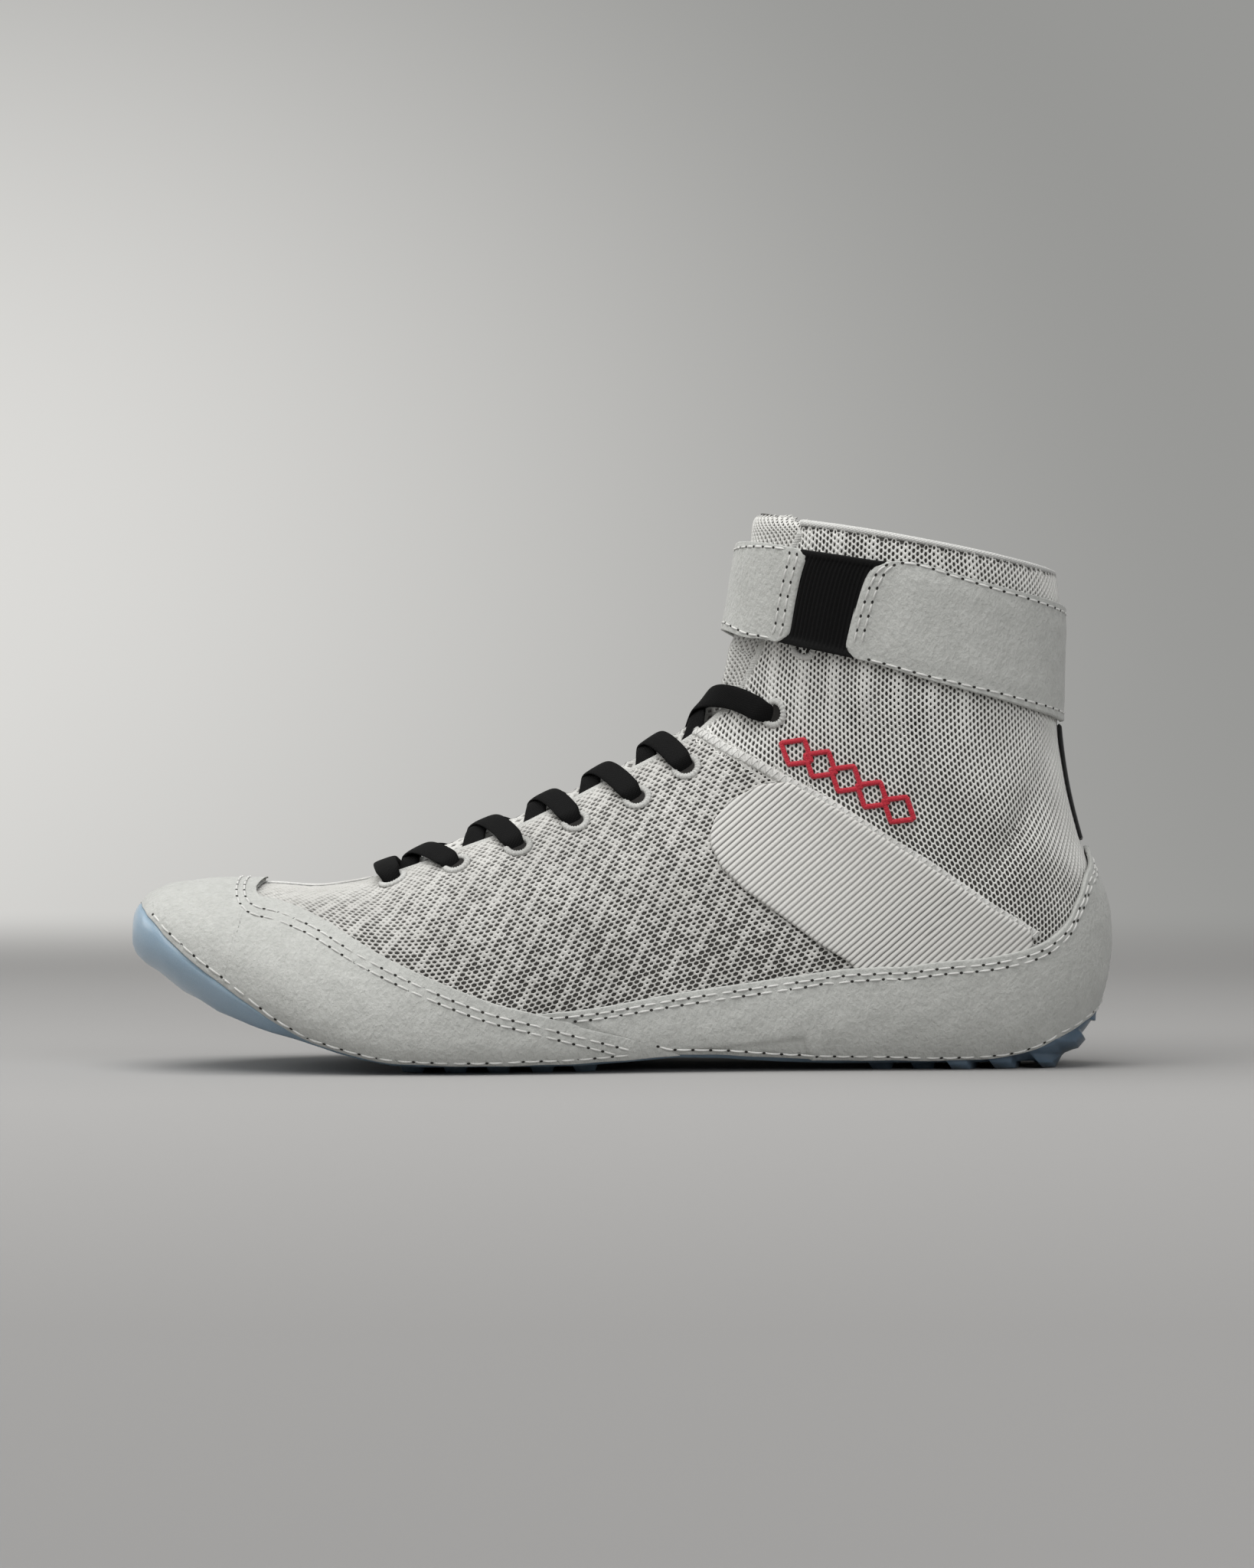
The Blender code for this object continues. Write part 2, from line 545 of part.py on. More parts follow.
def make_outsole():
    """Rubber sole: plate with lugs, wrapped up round the toe and the heel."""
    low_points, high_points = [], []
    for x, z in HEM:
        base = (floor_height(share_to_x(x)) - LUG_HEIGHT) / SHAFT_RISE
        low_points.append((x, base + (SOLE_PLATE - SOLE_CORNER) / SHAFT_RISE))
        high_points.append((x, max(z, base + SOLE_PLATE / SHAFT_RISE)))
    start = [row_of_crest_x(HEM_CREST_X), 0.0]
    end = [row_of_back(HEM_BACK), np.pi]
    edge = as_line(np.vstack([start, place_on_side(high_points), end]))
    nose = place_on_side([(0.0, low_points[0][1])])[0, 1]
    turn_back = [row_of_back((SOLE_PLATE - SOLE_CORNER) / SHAFT_RISE), np.pi]
    low_places = place_on_side(low_points)
    low_places = low_places[low_places[:, 0] < turn_back[0] - 0.1]
    corner = as_line(np.vstack([[0.0, nose], low_places, turn_back]))
    pitch = LUG_PITCH / SHOE_LENGTH
    lengths = np.concatenate([
        np.arange(FOREFOOT_LUGS[0], FOREFOOT_LUGS[1], pitch),
        np.linspace(FOREFOOT_LUGS[1] + pitch, HEEL_LUGS[0] - pitch, 11),
        np.arange(HEEL_LUGS[0], 0.955, pitch),
    ])
    rows = row_of_sole_x(lengths)
    tail = np.linspace(rows[-1], end[0], 7)[1:]
    toe = [0.0, 0.4, 0.9, start[0], 1.7, 2.2, 2.8, 3.4, 4.0]
    rows = np.concatenate([toe, rows[rows > 4.3], tail])
    turn = np.where(rows > start[0], edge(rows), 0.0)
    turn[-1] = np.pi
    turn_in = np.clip(corner(rows), turn + 0.04, np.pi)
    turn_in = np.where(turn_in > np.pi - 0.08, np.pi, turn_in)
    wall = between(
        np.stack([rows, turn], -1), np.stack([rows, turn_in], -1), [0, 0.35, 0.7, 1]
    )
    plate = between(
        np.stack([rows, turn_in], -1), np.stack([rows, 2 * np.pi - turn_in], -1),
        np.linspace(0, 1, 9),
    )
    far_wall = wall[:, ::-1].copy()
    far_wall[..., 1] = 2 * np.pi - far_wall[..., 1]
    grid = np.concatenate([wall[:, :-1], plate, far_wall[:, 1:]], axis=1)
    middle = section_at((rows[:-1] + rows[1:]) / 2)[2] / SHOE_LENGTH + 0.5
    tread = (middle > FOREFOOT_LUGS[0]) & (middle < FOREFOOT_LUGS[1])
    tread |= (middle > HEEL_LUGS[0]) & (rows[:-1] < end[0] - 0.5)
    tread &= np.arange(len(middle)) % 2 == 1
    columns = np.arange(grid.shape[1] - 1)
    wide = np.isin(columns, [4, 5, 6, 7, 8, 9])
    split = np.isin(columns, [4, 5, 8, 9])
    beside = np.isin(columns, [2, 11])
    under = turn_in[1:] < np.pi
    rolled = turn_in[:-1] >= np.pi
    whole = np.arange(len(middle)) % 4 == 1
    mask = (tread & under & whole)[:, None] & wide[None, :]
    mask |= (tread & under & ~whole)[:, None] & split[None, :]
    mask |= (tread & rolled)[:, None] & beside[None, :]
    shell(
        "outsole", [grid],
        lambda rows, turns: skin(rows, turns, sole_recess(rows)),
        lambda rows, turns: skin(rows, turns, sole_recess(rows) + SOLE_WALL, SOLE_PLATE),
        (0.36, 0.49, 0.58), 0.45,
        raised=([mask], lambda rows, turns: skin(rows, turns, -LUG_HEIGHT + 0 * rows, -LUG_HEIGHT)),
    )


def make_insole():
    """Foam insole on the sole plate, inside the upper's wall."""
    rest = SOLE_PLATE + SEAT_GAP
    depth = UPPER_DEPTH + FABRIC_WALL + SEAT_GAP
    rows = np.linspace(INSOLE_ROWS[0], INSOLE_ROWS[1], 17)
    lengths = np.linspace(0.0, 0.93, 60)
    heights = (floor_height(share_to_x(lengths)) + rest + 0.001 - LUG_HEIGHT) / SHAFT_RISE
    edge = as_line(place_on_side(np.stack([lengths, heights], -1)))
    turn = edge(rows)
    grid = between(
        np.stack([rows, turn], -1), np.stack([rows, 2 * np.pi - turn], -1), np.linspace(0, 1, 9)
    )

    def underside(rows, turns):
        return skin(rows, turns, depth + 0 * rows, rest)

    def topside(rows, turns):
        point = underside(rows, turns)
        level = floor_height(point[..., 0]) + rest + INSOLE_THICKNESS
        point[..., 2] = np.maximum(level, point[..., 2] + 0.25 * INSOLE_THICKNESS)
        return point

    shell("insole", [grid], underside, topside, (0.16, 0.16, 0.17), 0.95)


def tongue_depth(rows, turns):
    """Depth of the tongue's face: just under the laces, then under the upper's wall."""
    under = UPPER_DEPTH + FABRIC_WALL + SEAT_GAP + CLEARANCE
    edge = np.maximum(THROAT_EDGE(rows) - 0.16, 0.05)
    share = smooth(np.abs(turns) / edge)
    return TONGUE_CREST_DEPTH + (under - TONGUE_CREST_DEPTH) * share


def make_tongue():
    """Padded tongue under the laces, standing a little above the collar."""
    rows = np.concatenate([
        np.arange(TONGUE_TOE_ROW, 14, 0.8), np.arange(14.2, 20, 1.0),
        np.linspace(20.4, TONGUE_TOP_ROW, 7),
    ])
    half = THROAT_EDGE(rows) + TONGUE_LAP
    grid = between(
        np.stack([rows, -half], -1), np.stack([rows, half], -1), np.linspace(0, 1, 11)
    )
    grid[-1, :, 0] -= 0.55 * (np.abs(grid[-1, :, 1]) / half[-1]) ** 2
    shell(
        "tongue", [grid],
        lambda rows, turns: skin(rows, turns, tongue_depth(rows, turns)),
        lambda rows, turns: skin(rows, turns, tongue_depth(rows, turns) + TONGUE_THICKNESS),
        (0.60, 0.60, 0.59), 0.9,
    )


def guard_shell(name, grids, colour, wall=GUARD, depth=0.0):
    """Overlay of one thickness at a depth under the outside."""
    shell(
        name, grids,
        lambda rows, turns: skin(rows, turns, depth + 0 * rows),
        lambda rows, turns: skin(rows, turns, depth + wall + 0 * rows),
        colour, 0.95,
    )


def make_toe_guard():
    """Suede guard over the toe and along the sole to the arch, one piece for both sides."""
    hem = hem_line(HEM_GAP)
    hem_at = as_line(hem)
    crest_end = row_of_crest_x(0.127)
    crest_rows = np.array([hem[0, 0], hem[0, 0] + 0.25, 2.3, 2.8, 3.4, 4.2, 5.0, crest_end])
    front_top = np.stack([crest_rows, 0 * crest_rows], -1)
    front_low = np.stack([crest_rows, hem_at(crest_rows)], -1)
    front_low[0, 1] = 0.0
    side_top = place_on_side(TOE_GUARD_TOP)
    turn_off = between(front_top[-1:], side_top[:1], [0.2, 0.4, 0.6, 0.8])[0]
    side_top = np.vstack([turn_off, side_top])
    hem_end = place_on_side([TOE_GUARD_END])[0]
    side_count = len(side_top) - len(turn_off)
    low_rows = np.concatenate([
        crest_end + np.linspace(0.02, 0.12, len(turn_off)),
        np.linspace(crest_end + 0.18, hem_end[0], side_count),
    ])
    side_low = np.stack([low_rows, hem_at(low_rows)], -1)
    top = np.vstack([front_top, side_top])
    low = np.vstack([front_low, side_low])
    grid = between(top, low, np.linspace(0, 1, 6))
    guard_shell("toe_guard", [grid, mirrored(grid)], (0.45, 0.46, 0.44))


def make_heel_guard():
    """Suede guard round the heel, from the toe guard's edge to its tip on the back seam."""
    gap = HEM_GAP / SHAFT_RISE
    toe_edge = place_on_side([(x, z + gap) for x, z in TOE_GUARD_TOP if x > 0.40])
    hem = hem_line(HEM_GAP)
    hem = hem[hem[:, 0] > place_on_side([TOE_GUARD_END])[0, 0] + 0.08]
    low = resample(np.vstack([toe_edge, hem]), 25)
    tip = [row_of_back(HEEL_GUARD_TIP), np.pi]
    top = resample(np.vstack([place_on_side(HEEL_GUARD_TOP), tip]), 25)
    grid = between(top, low, np.linspace(0, 1, 5))
    guard_shell("heel_guard", [grid, mirrored(grid)], (0.36, 0.37, 0.36))


def make_rib_panels():
    """Ribbed side panels above the heel guard, one on each side."""
    gap = 2 * CLEARANCE / SHAFT_RISE
    top = resample(place_on_side(RIB_PANEL_TOP), 14)
    guard = [(x, z + gap) for x, z in HEEL_GUARD_TOP if 0.735 < x < 0.91]
    low = resample(place_on_side(RIB_PANEL_FRONT + guard), 14)
    grid = between(top, low, np.linspace(0, 1, 6))
    depth = UPPER_DEPTH - SEAT_GAP - PANEL_WALL
    for side, places in (("medial", mirrored(grid)), ("lateral", grid)):
        guard_shell(f"rib_panel_{side}", [places], (0.66, 0.67, 0.66), PANEL_WALL, depth)


def make_backstay():
    """Tape up the back seam, from the heel guard's tip to the strap."""
    low = row_of_back(HEEL_GUARD_TIP) + 0.25
    high = row_of_back(STRAP_BACK[1]) - 0.12
    rows = np.linspace(low, high, 7)
    points = bare(rows[:, None], np.linspace(np.pi, np.pi - 1.2, 61)[None, :])
    width = np.abs(points[..., 1] - points[:, :1, 1])
    turn = np.array([np.interp(BACKSTAY_HALF_WIDTH, w, np.linspace(0, 1.2, 61)) for w in width])
    turn = turn * np.array([0.30, 0.8, 1, 1, 1, 1, 1])
    grid = between(
        np.stack([rows, np.pi - turn], -1), np.stack([rows, np.pi + turn], -1),
        np.linspace(0, 1, 5),
    )
    depth = UPPER_DEPTH - CLEARANCE - TAPE_WALL
    guard_shell("backstay", [grid], (0.01, 0.01, 0.01), TAPE_WALL, depth)


def strap_depth(turns, seat):
    """Depth of the strap's face: over the laces in front, then down on the shaft."""
    share = smooth((np.abs(turns) - 0.85) / 0.5)
    return STRAP_FRONT_DEPTH - STRAP_WALL + (seat - STRAP_FRONT_DEPTH) * share


def strap_lines():
    """Top and bottom edges of the strap from the front of the shaft to its back seam."""
    top_front = [row_of_crest(STRAP_CREST[0]), 0.0]
    low_front = [row_of_crest(STRAP_CREST[1]), 0.0]
    top_back = [row_of_back(STRAP_BACK[0]), np.pi]
    low_back = [row_of_back(STRAP_BACK[1]), np.pi]
    top = np.vstack([top_front, place_on_side(STRAP_TOP), top_back])
    low = np.vstack([low_front, place_on_side(STRAP_BOTTOM), low_back])
    return top, low


def cut_line(line, first_x, last_x, count):
    """Stretch of a line between two length shares, or to its ends where one is None."""
    dense = resample(line, 400)
    x = bare(dense[:, 0], dense[:, 1])[:, 0]
    keep = np.ones(len(x), dtype=bool)
    if first_x is not None:
        keep &= x >= share_to_x(first_x)
    if last_x is not None:
        keep &= x <= share_to_x(last_x)
    return resample(dense[keep], count)


def strap_shell(name, grids, seat, wall, colour):
    """One length of the strap, lying on its seat depth."""
    shell(
        name, grids,
        lambda rows, turns: skin(rows, turns, strap_depth(turns, seat)),
        lambda rows, turns: skin(rows, turns, strap_depth(turns, seat) + wall),
        colour, 0.9,
    )


def make_strap():
    """Ankle strap: rear suede, elastic and front suede inside, closed on a landing outside."""
    top, low = strap_lines()
    shares = np.linspace(0, 1, 6)
    seat = UPPER_DEPTH - SEAT_GAP
    gap = CLEARANCE / SHOE_LENGTH
    rear = between(
        cut_line(top, ELASTIC_TOP_X[1] + gap, None, 11),
        cut_line(low, ELASTIC_BOTTOM_X[1] + gap, None, 11), shares,
    )
    elastic = between(
        cut_line(top, *ELASTIC_TOP_X, 6), cut_line(low, *ELASTIC_BOTTOM_X, 6), shares
    )
    front = between(
        cut_line(top, None, ELASTIC_TOP_X[0] - gap, 8),
        cut_line(low, None, ELASTIC_BOTTOM_X[0] - gap, 8), shares,
    )
    over = between(
        cut_line(top, None, STRAP_TIP_X, 16), cut_line(low, None, STRAP_TIP_X, 16), shares
    )
    over[-1, :, 1] += 0.10 * np.sin(np.pi * shares)
    landing = between(
        cut_line(top, LANDING_FRONT_X, None, 12), cut_line(low, LANDING_FRONT_X, None, 12),
        np.linspace(0.08, 0.92, 5),
    )
    suede = (0.45, 0.46, 0.45)
    strap_shell("strap_rear", [mirrored(rear)], seat, STRAP_WALL, suede)
    strap_shell("strap_elastic", [mirrored(elastic)], seat, STRAP_WALL, (0.01, 0.01, 0.01))
    tip_seat = seat - TAPE_WALL - CLEARANCE
    strap_shell("strap_front", [mirrored(front), over], tip_seat, STRAP_WALL, suede)
    landing[..., 1] = np.minimum(landing[..., 1], np.pi - 0.02)
    depth = UPPER_DEPTH - SEAT_GAP - TAPE_WALL
    guard_shell("strap_landing", [landing], (0.05, 0.05, 0.05), TAPE_WALL, depth)


def around(place, right, up):
    """Place reached from another by going right along its row's turn and up the rows, in metres."""
    step = 0.01
    row, turn = place
    along = (bare(row + step, turn) - bare(row - step, turn)) / (2 * step)
    cross = (bare(row, turn + step) - bare(row, turn - step)) / (2 * step)
    cross_length = np.linalg.norm(cross)
    cross_unit = cross / cross_length
    lean = np.dot(along, cross_unit)
    rise = along - lean * cross_unit
    rise_length = np.linalg.norm(rise)
    rows = np.asarray(up) / rise_length
    turns = (np.asarray(right) - rows * lean) / cross_length
    return row + rows, turn + turns


def make_eyelets():
    """Raised round eyelets along both sides of the throat."""
    angles = np.linspace(0, 2 * np.pi, 8)
    for number, place in enumerate(place_on_side(EYELETS), start=1):
        for side, sign in (("medial", -1), ("lateral", 1)):
            centre = (place[0], sign * place[1])
            rings = []
            for radius in (EYELET_HOLE, EYELET_RADIUS):
                rings.append(np.stack(
                    around(centre, radius * np.cos(angles), radius * np.sin(angles)), -1
                ))
            grid = np.stack(rings, axis=1)
            grid[-1] = grid[0]
            depth = UPPER_DEPTH - CLEARANCE - EYELET_RISE
            guard_shell(
                f"eyelet_{side}_{number}", [grid], (0.55, 0.55, 0.54), EYELET_RISE, depth
            )


def lace_path(start, end, count):
    """Places along a lace from one place to another, straight over the tongue."""
    shares = np.linspace(0, 1, count)[:, None]
    return start * (1 - shares) + end * shares


def make_laces():
    """Crossed laces: each crossing is one solid of four arms over the tongue."""
    holes = place_on_side(EYELETS)
    for number in range(LACE_CROSSINGS):
        lower, higher = holes[number], holes[number + 1]
        level = (lower[0] + higher[0]) / 2
        centre = np.array([level, 0.0])
        arms = []
        for sign in (-1, 1):
            edge_turn = THROAT_EDGE(lower[0] + 0.1) - 0.09
            arms.append((np.array([higher[0], sign * higher[1]]), 4))
            arms.append((np.array([lower[0] + 0.1, sign * max(edge_turn, 0.12)]), 2))
        make_crossing(f"lace_crossing_{number + 1}", centre, arms)


def make_crossing(name, centre, arms):
    """Flat lace crossing: a middle patch with one band to the end of each arm."""
    half = LACE_WIDTH / 2
    middle_point = bare(*centre)
    corners = []
    directions = []
    for end, _ in arms:
        vector = bare(*end) - middle_point
        _, cross = frame_at(centre)
        directions.append(np.arctan2(np.dot(vector, cross[1]), np.dot(vector, cross[0])))
    order = np.argsort(directions)
    sorted_arms = [(arms[i], directions[i]) for i in order]
    for index, (_, angle) in enumerate(sorted_arms):
        following = sorted_arms[(index + 1) % len(sorted_arms)][1]
        opening = (following - angle) % (2 * np.pi)
        reach = half / np.sin(opening / 2)
        bisector = angle + opening / 2
        corners.append(np.array(around(
            tuple(centre), reach * np.cos(bisector), reach * np.sin(bisector)
        )))
    hub = np.array(centre)
    bases = [(corners[index] + corners[index - 1]) / 2 for index in range(len(corners))]
    grids = []
    for index, ((end, count), angle) in enumerate(sorted_arms):
        follow = (index + 1) % len(bases)
        grids.append(np.array([[bases[index], corners[index]], [hub, bases[follow]]]))
        sides = [corners[index - 1], bases[index], corners[index]]
        lines = []
        for start, shift in zip(sides, (-half, 0.0, half)):
            goal = np.array(around(tuple(end), -shift * np.sin(angle), shift * np.cos(angle)))
            lines.append(lace_path(start, goal, count))
        grids.append(np.stack(lines, axis=1))
    shell(
        name, grids,
        lambda rows, turns: skin(rows, turns, LACE_DEPTH - LACE_THICKNESS + 0 * rows),
        lambda rows, turns: skin(rows, turns, LACE_DEPTH + 0 * rows),
        (0.01, 0.01, 0.012), 0.8,
    )


def frame_at(place):
    """Point and two unit tangents of the surface: along the turn, and up the rows."""
    step = 0.01
    row, turn = place
    along = bare(row + step, turn) - bare(row - step, turn)
    cross = bare(row, turn + step) - bare(row, turn - step)
    cross = cross / np.linalg.norm(cross)
    rise = along - np.dot(along, cross) * cross
    rise = rise / np.linalg.norm(rise)
    return bare(row, turn), (cross, rise)


def main():
    for obj in list(bpy.data.objects):
        bpy.data.objects.remove(obj, do_unlink=True)
    make_upper()
    make_collar_piping()
    make_outsole()
    make_insole()
    make_tongue()
    make_toe_guard()
    make_heel_guard()
    make_rib_panels()
    make_backstay()
    make_strap()
    make_eyelets()
    make_laces()


main()
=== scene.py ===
"""Looks of a right-foot wrestling shoe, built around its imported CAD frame.

Toe towards -X, heel towards +X, inner (medial) side towards -Y, metres, +Z up.
Every soft CAD node is replaced by a finer piece laid on the same last surface:
a fan of closed sections, from the toe tip (row 0) to the collar (row 26), each
drawn by a turn round it (0 on the instep line, pi on the sole or back line).
"""
import logging
from dataclasses import dataclass, field
from enum import Enum

import bpy
import numpy as np
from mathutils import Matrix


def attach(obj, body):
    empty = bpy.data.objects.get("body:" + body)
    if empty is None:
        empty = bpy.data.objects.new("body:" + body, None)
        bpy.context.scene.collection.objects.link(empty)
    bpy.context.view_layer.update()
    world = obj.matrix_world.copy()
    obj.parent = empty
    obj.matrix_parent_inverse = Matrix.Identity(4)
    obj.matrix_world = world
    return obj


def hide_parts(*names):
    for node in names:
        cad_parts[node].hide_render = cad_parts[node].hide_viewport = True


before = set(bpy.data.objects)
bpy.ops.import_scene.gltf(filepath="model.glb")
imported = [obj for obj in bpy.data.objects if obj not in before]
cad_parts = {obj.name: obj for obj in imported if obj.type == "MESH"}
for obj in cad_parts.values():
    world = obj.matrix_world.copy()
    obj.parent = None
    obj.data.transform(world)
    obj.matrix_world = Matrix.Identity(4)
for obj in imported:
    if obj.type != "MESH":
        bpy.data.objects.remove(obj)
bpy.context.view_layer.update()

LOG = logging.getLogger("wrestling_shoe")
Array = np.ndarray

SHOE_LENGTH = 0.288
SHAFT_RISE = 0.1564
BALL_WIDTH = 0.100
LUG_HEIGHT = 0.0020
GUARD = 0.0013
SEAT_GAP = 0.0006
UPPER_DEPTH = GUARD + SEAT_GAP
FABRIC_WALL = 0.0020
SOLE_PLATE = 0.0035
TAU = 2 * np.pi

# Sections: dorsal x, dorsal z, ventral x, ventral z (shares of length and rise),
# half-width and centre y (shares of the ball's width), widest share, upper and lower squareness
SECTIONS = np.array([
    (0.001, 0.262, 0.000, 0.222, 0.000, -0.110, 0.50, 2.0, 2.0),
    (0.005, 0.286, 0.005, 0.199, 0.105, -0.108, 0.52, 2.0, 2.0),
    (0.016, 0.311, 0.016, 0.180, 0.185, -0.104, 0.54, 2.1, 2.1),
    (0.030, 0.324, 0.030, 0.164, 0.245, -0.098, 0.56, 2.1, 2.2),
    (0.048, 0.334, 0.050, 0.135, 0.298, -0.090, 0.58, 2.1, 2.3),
    (0.084, 0.341, 0.086, 0.086, 0.366, -0.072, 0.60, 2.0, 2.4),
    (0.134, 0.342, 0.138, 0.036, 0.428, -0.048, 0.63, 1.9, 2.5),
    (0.197, 0.341, 0.202, -0.012, 0.474, -0.022, 0.68, 1.9, 2.6),
    (0.252, 0.363, 0.261, -0.043, 0.496, -0.006, 0.71, 1.9, 2.7),
    (0.314, 0.413, 0.339, -0.049, 0.500, 0.006, 0.74, 1.9, 2.9),
    (0.396, 0.475, 0.427, -0.049, 0.468, 0.020, 0.76, 1.85, 3.0),
    (0.470, 0.542, 0.523, -0.046, 0.416, 0.034, 0.77, 1.8, 3.0),
    (0.534, 0.607, 0.636, -0.046, 0.374, 0.038, 0.76, 1.8, 2.9),
    (0.568, 0.652, 0.748, -0.046, 0.3502, 0.030, 0.72, 1.8, 2.7),
    (0.585, 0.686, 0.855, -0.043, 0.3400, 0.022, 0.68, 1.85, 2.5),
    (0.591, 0.719, 0.922, -0.020, 0.33456, 0.016, 0.64, 1.9, 2.4),
    (0.594, 0.741, 0.959, 0.037, 0.33184, 0.012, 0.62, 1.9, 2.3),
    (0.596, 0.761, 0.984, 0.111, 0.33184, 0.010, 0.60, 1.95, 2.2),
    (0.598, 0.777, 0.994, 0.204, 0.33456, 0.008, 0.58, 2.0, 2.1),
    (0.602, 0.794, 0.991, 0.294, 0.3400, 0.006, 0.56, 2.0, 2.0),
    (0.605, 0.820, 0.971, 0.396, 0.34788, 0.005, 0.54, 2.0, 1.95),
    (0.609, 0.856, 0.954, 0.519, 0.35724, 0.004, 0.52, 2.0, 1.95),
    (0.613, 0.906, 0.945, 0.650, 0.36972, 0.003, 0.51, 2.05, 2.0),
    (0.617, 0.950, 0.945, 0.765, 0.38064, 0.002, 0.50, 2.1, 2.05),
    (0.620, 0.978, 0.947, 0.847, 0.38688, 0.000, 0.50, 2.1, 2.1),
    (0.621, 1.000, 0.945, 0.889, 0.3900, 0.000, 0.50, 2.1, 2.1),
    (0.625, 1.033, 0.942, 0.921, 0.3900, 0.000, 0.50, 2.1, 2.1),
])
LAST_ROW = len(SECTIONS) - 1

# Side-view lines, (x, z) in shares
FLOOR = np.array([
    (0.000, 0.222), (0.005, 0.196), (0.018, 0.177), (0.029, 0.167), (0.056, 0.132),
    (0.084, 0.106), (0.126, 0.076), (0.167, 0.052), (0.205, 0.030), (0.236, 0.014),
    (0.267, 0.003), (0.298, 0.000), (0.455, 0.000), (0.502, 0.007), (0.548, 0.014),
    (0.595, 0.012), (0.650, 0.004), (0.705, 0.000), (1.000, 0.000),
])
HEM = np.array([
    (0.014, 0.289), (0.021, 0.275), (0.041, 0.239), (0.070, 0.193), (0.098, 0.155),
    (0.126, 0.118), (0.153, 0.082), (0.189, 0.046), (0.236, 0.020), (0.298, 0.006),
    (0.455, 0.006), (0.502, 0.011), (0.548, 0.018), (0.595, 0.017), (0.650, 0.010),
    (0.705, 0.006), (0.840, 0.006), (0.873, 0.009), (0.902, 0.020), (0.932, 0.043),
    (0.963, 0.073), (0.986, 0.101),
])
TOE_GUARD_TOP = np.array([
    (0.1290, 0.345), (0.1275, 0.330), (0.1305, 0.316), (0.1370, 0.310), (0.148, 0.306), (0.166, 0.296),
    (0.191, 0.277), (0.215, 0.252), (0.245, 0.219), (0.298, 0.171), (0.362, 0.123), (0.405, 0.101),
    (0.449, 0.079), (0.499, 0.054), (0.539, 0.032),
])
HEEL_GUARD_TOP = np.array([
    (0.410, 0.098), (0.445, 0.103), (0.483, 0.112), (0.532, 0.128), (0.582, 0.142),
    (0.632, 0.155), (0.682, 0.168), (0.731, 0.178), (0.798, 0.186), (0.838, 0.193),
    (0.879, 0.203), (0.907, 0.216), (0.927, 0.235), (0.944, 0.265), (0.955, 0.306),
    (0.965, 0.353),
])
THROAT = np.array([
    (0.259, 0.362), (0.305, 0.389), (0.358, 0.424), (0.415, 0.472), (0.474, 0.528),
    (0.520, 0.570), (0.567, 0.619), (0.590, 0.655), (0.614, 0.708), (0.630, 0.780),
    (0.642, 0.852), (0.655, 0.930), (0.668, 0.981),
])
STRAP_TOP = np.array([
    (0.643, 0.960), (0.674, 0.947), (0.712, 0.934), (0.751, 0.922), (0.788, 0.918),
    (0.827, 0.898), (0.870, 0.878), (0.911, 0.862), (0.935, 0.852),
])
STRAP_BOTTOM = np.array([
    (0.620, 0.790), (0.643, 0.783), (0.682, 0.765), (0.721, 0.747), (0.758, 0.728),
    (0.799, 0.705), (0.841, 0.685), (0.884, 0.665), (0.928, 0.643),
])
EYELETS = np.array([
    (0.262, 0.350), (0.327, 0.377), (0.390, 0.409), (0.447, 0.455), (0.509, 0.498),
    (0.559, 0.554), (0.644, 0.647), (0.673, 0.768),
])
RIB_PANEL_TOP = np.array([
    (0.661, 0.520), (0.712, 0.468), (0.754, 0.419), (0.809, 0.355), (0.866, 0.285),
    (0.905, 0.245),
])
RIB_PANEL_FRONT = np.array([
    (0.636, 0.518), (0.604, 0.489), (0.590, 0.466), (0.583, 0.430), (0.584, 0.403),
    (0.594, 0.365), (0.616, 0.324), (0.654, 0.274), (0.691, 0.223), (0.722, 0.188),
])
SEAM = np.array([
    (0.566, 0.622), (0.595, 0.590), (0.627, 0.557), (0.661, 0.520), (0.712, 0.468),
    (0.754, 0.419), (0.809, 0.355), (0.866, 0.285), (0.912, 0.235),
])
STRAP_CREST = (0.965, 0.801)
STRAP_BACK = (0.846, 0.633)
ELASTIC_TOP_X = (0.683, 0.751)
ELASTIC_BOTTOM_X = (0.661, 0.719)
LOOSE_STITCH = (0.0052, 0.0044)
END_STITCH = (0.0042, 0.0034)
STRAP_TIP_X = 0.842
TOE_GUARD_CREST_X = 0.1315
TOE_GUARD_SEAM_START = (0.1310, 0.357)
TOE_GUARD_END = (0.552, 0.024)
HEEL_GUARD_TIP = 0.401
HEM_BACK = 0.112
HEM_CREST_X = 0.0085
COLLAR_FRONT_ROW = 25.15
COLLAR_BACK_ROW = 25.50
TONGUE_TOP_ROW = 25.95


def share_to_x(share: Array) -> Array:
    """x of a length share, the toe at 0 and the heel at 1."""
    return (np.asarray(share, float) - 0.5) * SHOE_LENGTH


def share_to_z(share: Array) -> Array:
    """z of a height share, from the sole's base plane."""
    return LUG_HEIGHT + np.asarray(share, float) * SHAFT_RISE


def smooth(value: Array) -> Array:
    """Ease from 0 to 1."""
    value = np.clip(value, 0.0, 1.0)
    return value * value * (3 - 2 * value)


def catmull_rom(p0: Array, p1: Array, p2: Array, p3: Array, part: Array) -> Array:
    """Smooth curve from the second to the third of four values."""
    curve = 2 * p1 + (p2 - p0) * part + (2 * p0 - 5 * p1 + 4 * p2 - p3) * part ** 2
    return (curve + (3 * p1 - p0 - 3 * p2 + p3) * part ** 3) / 2


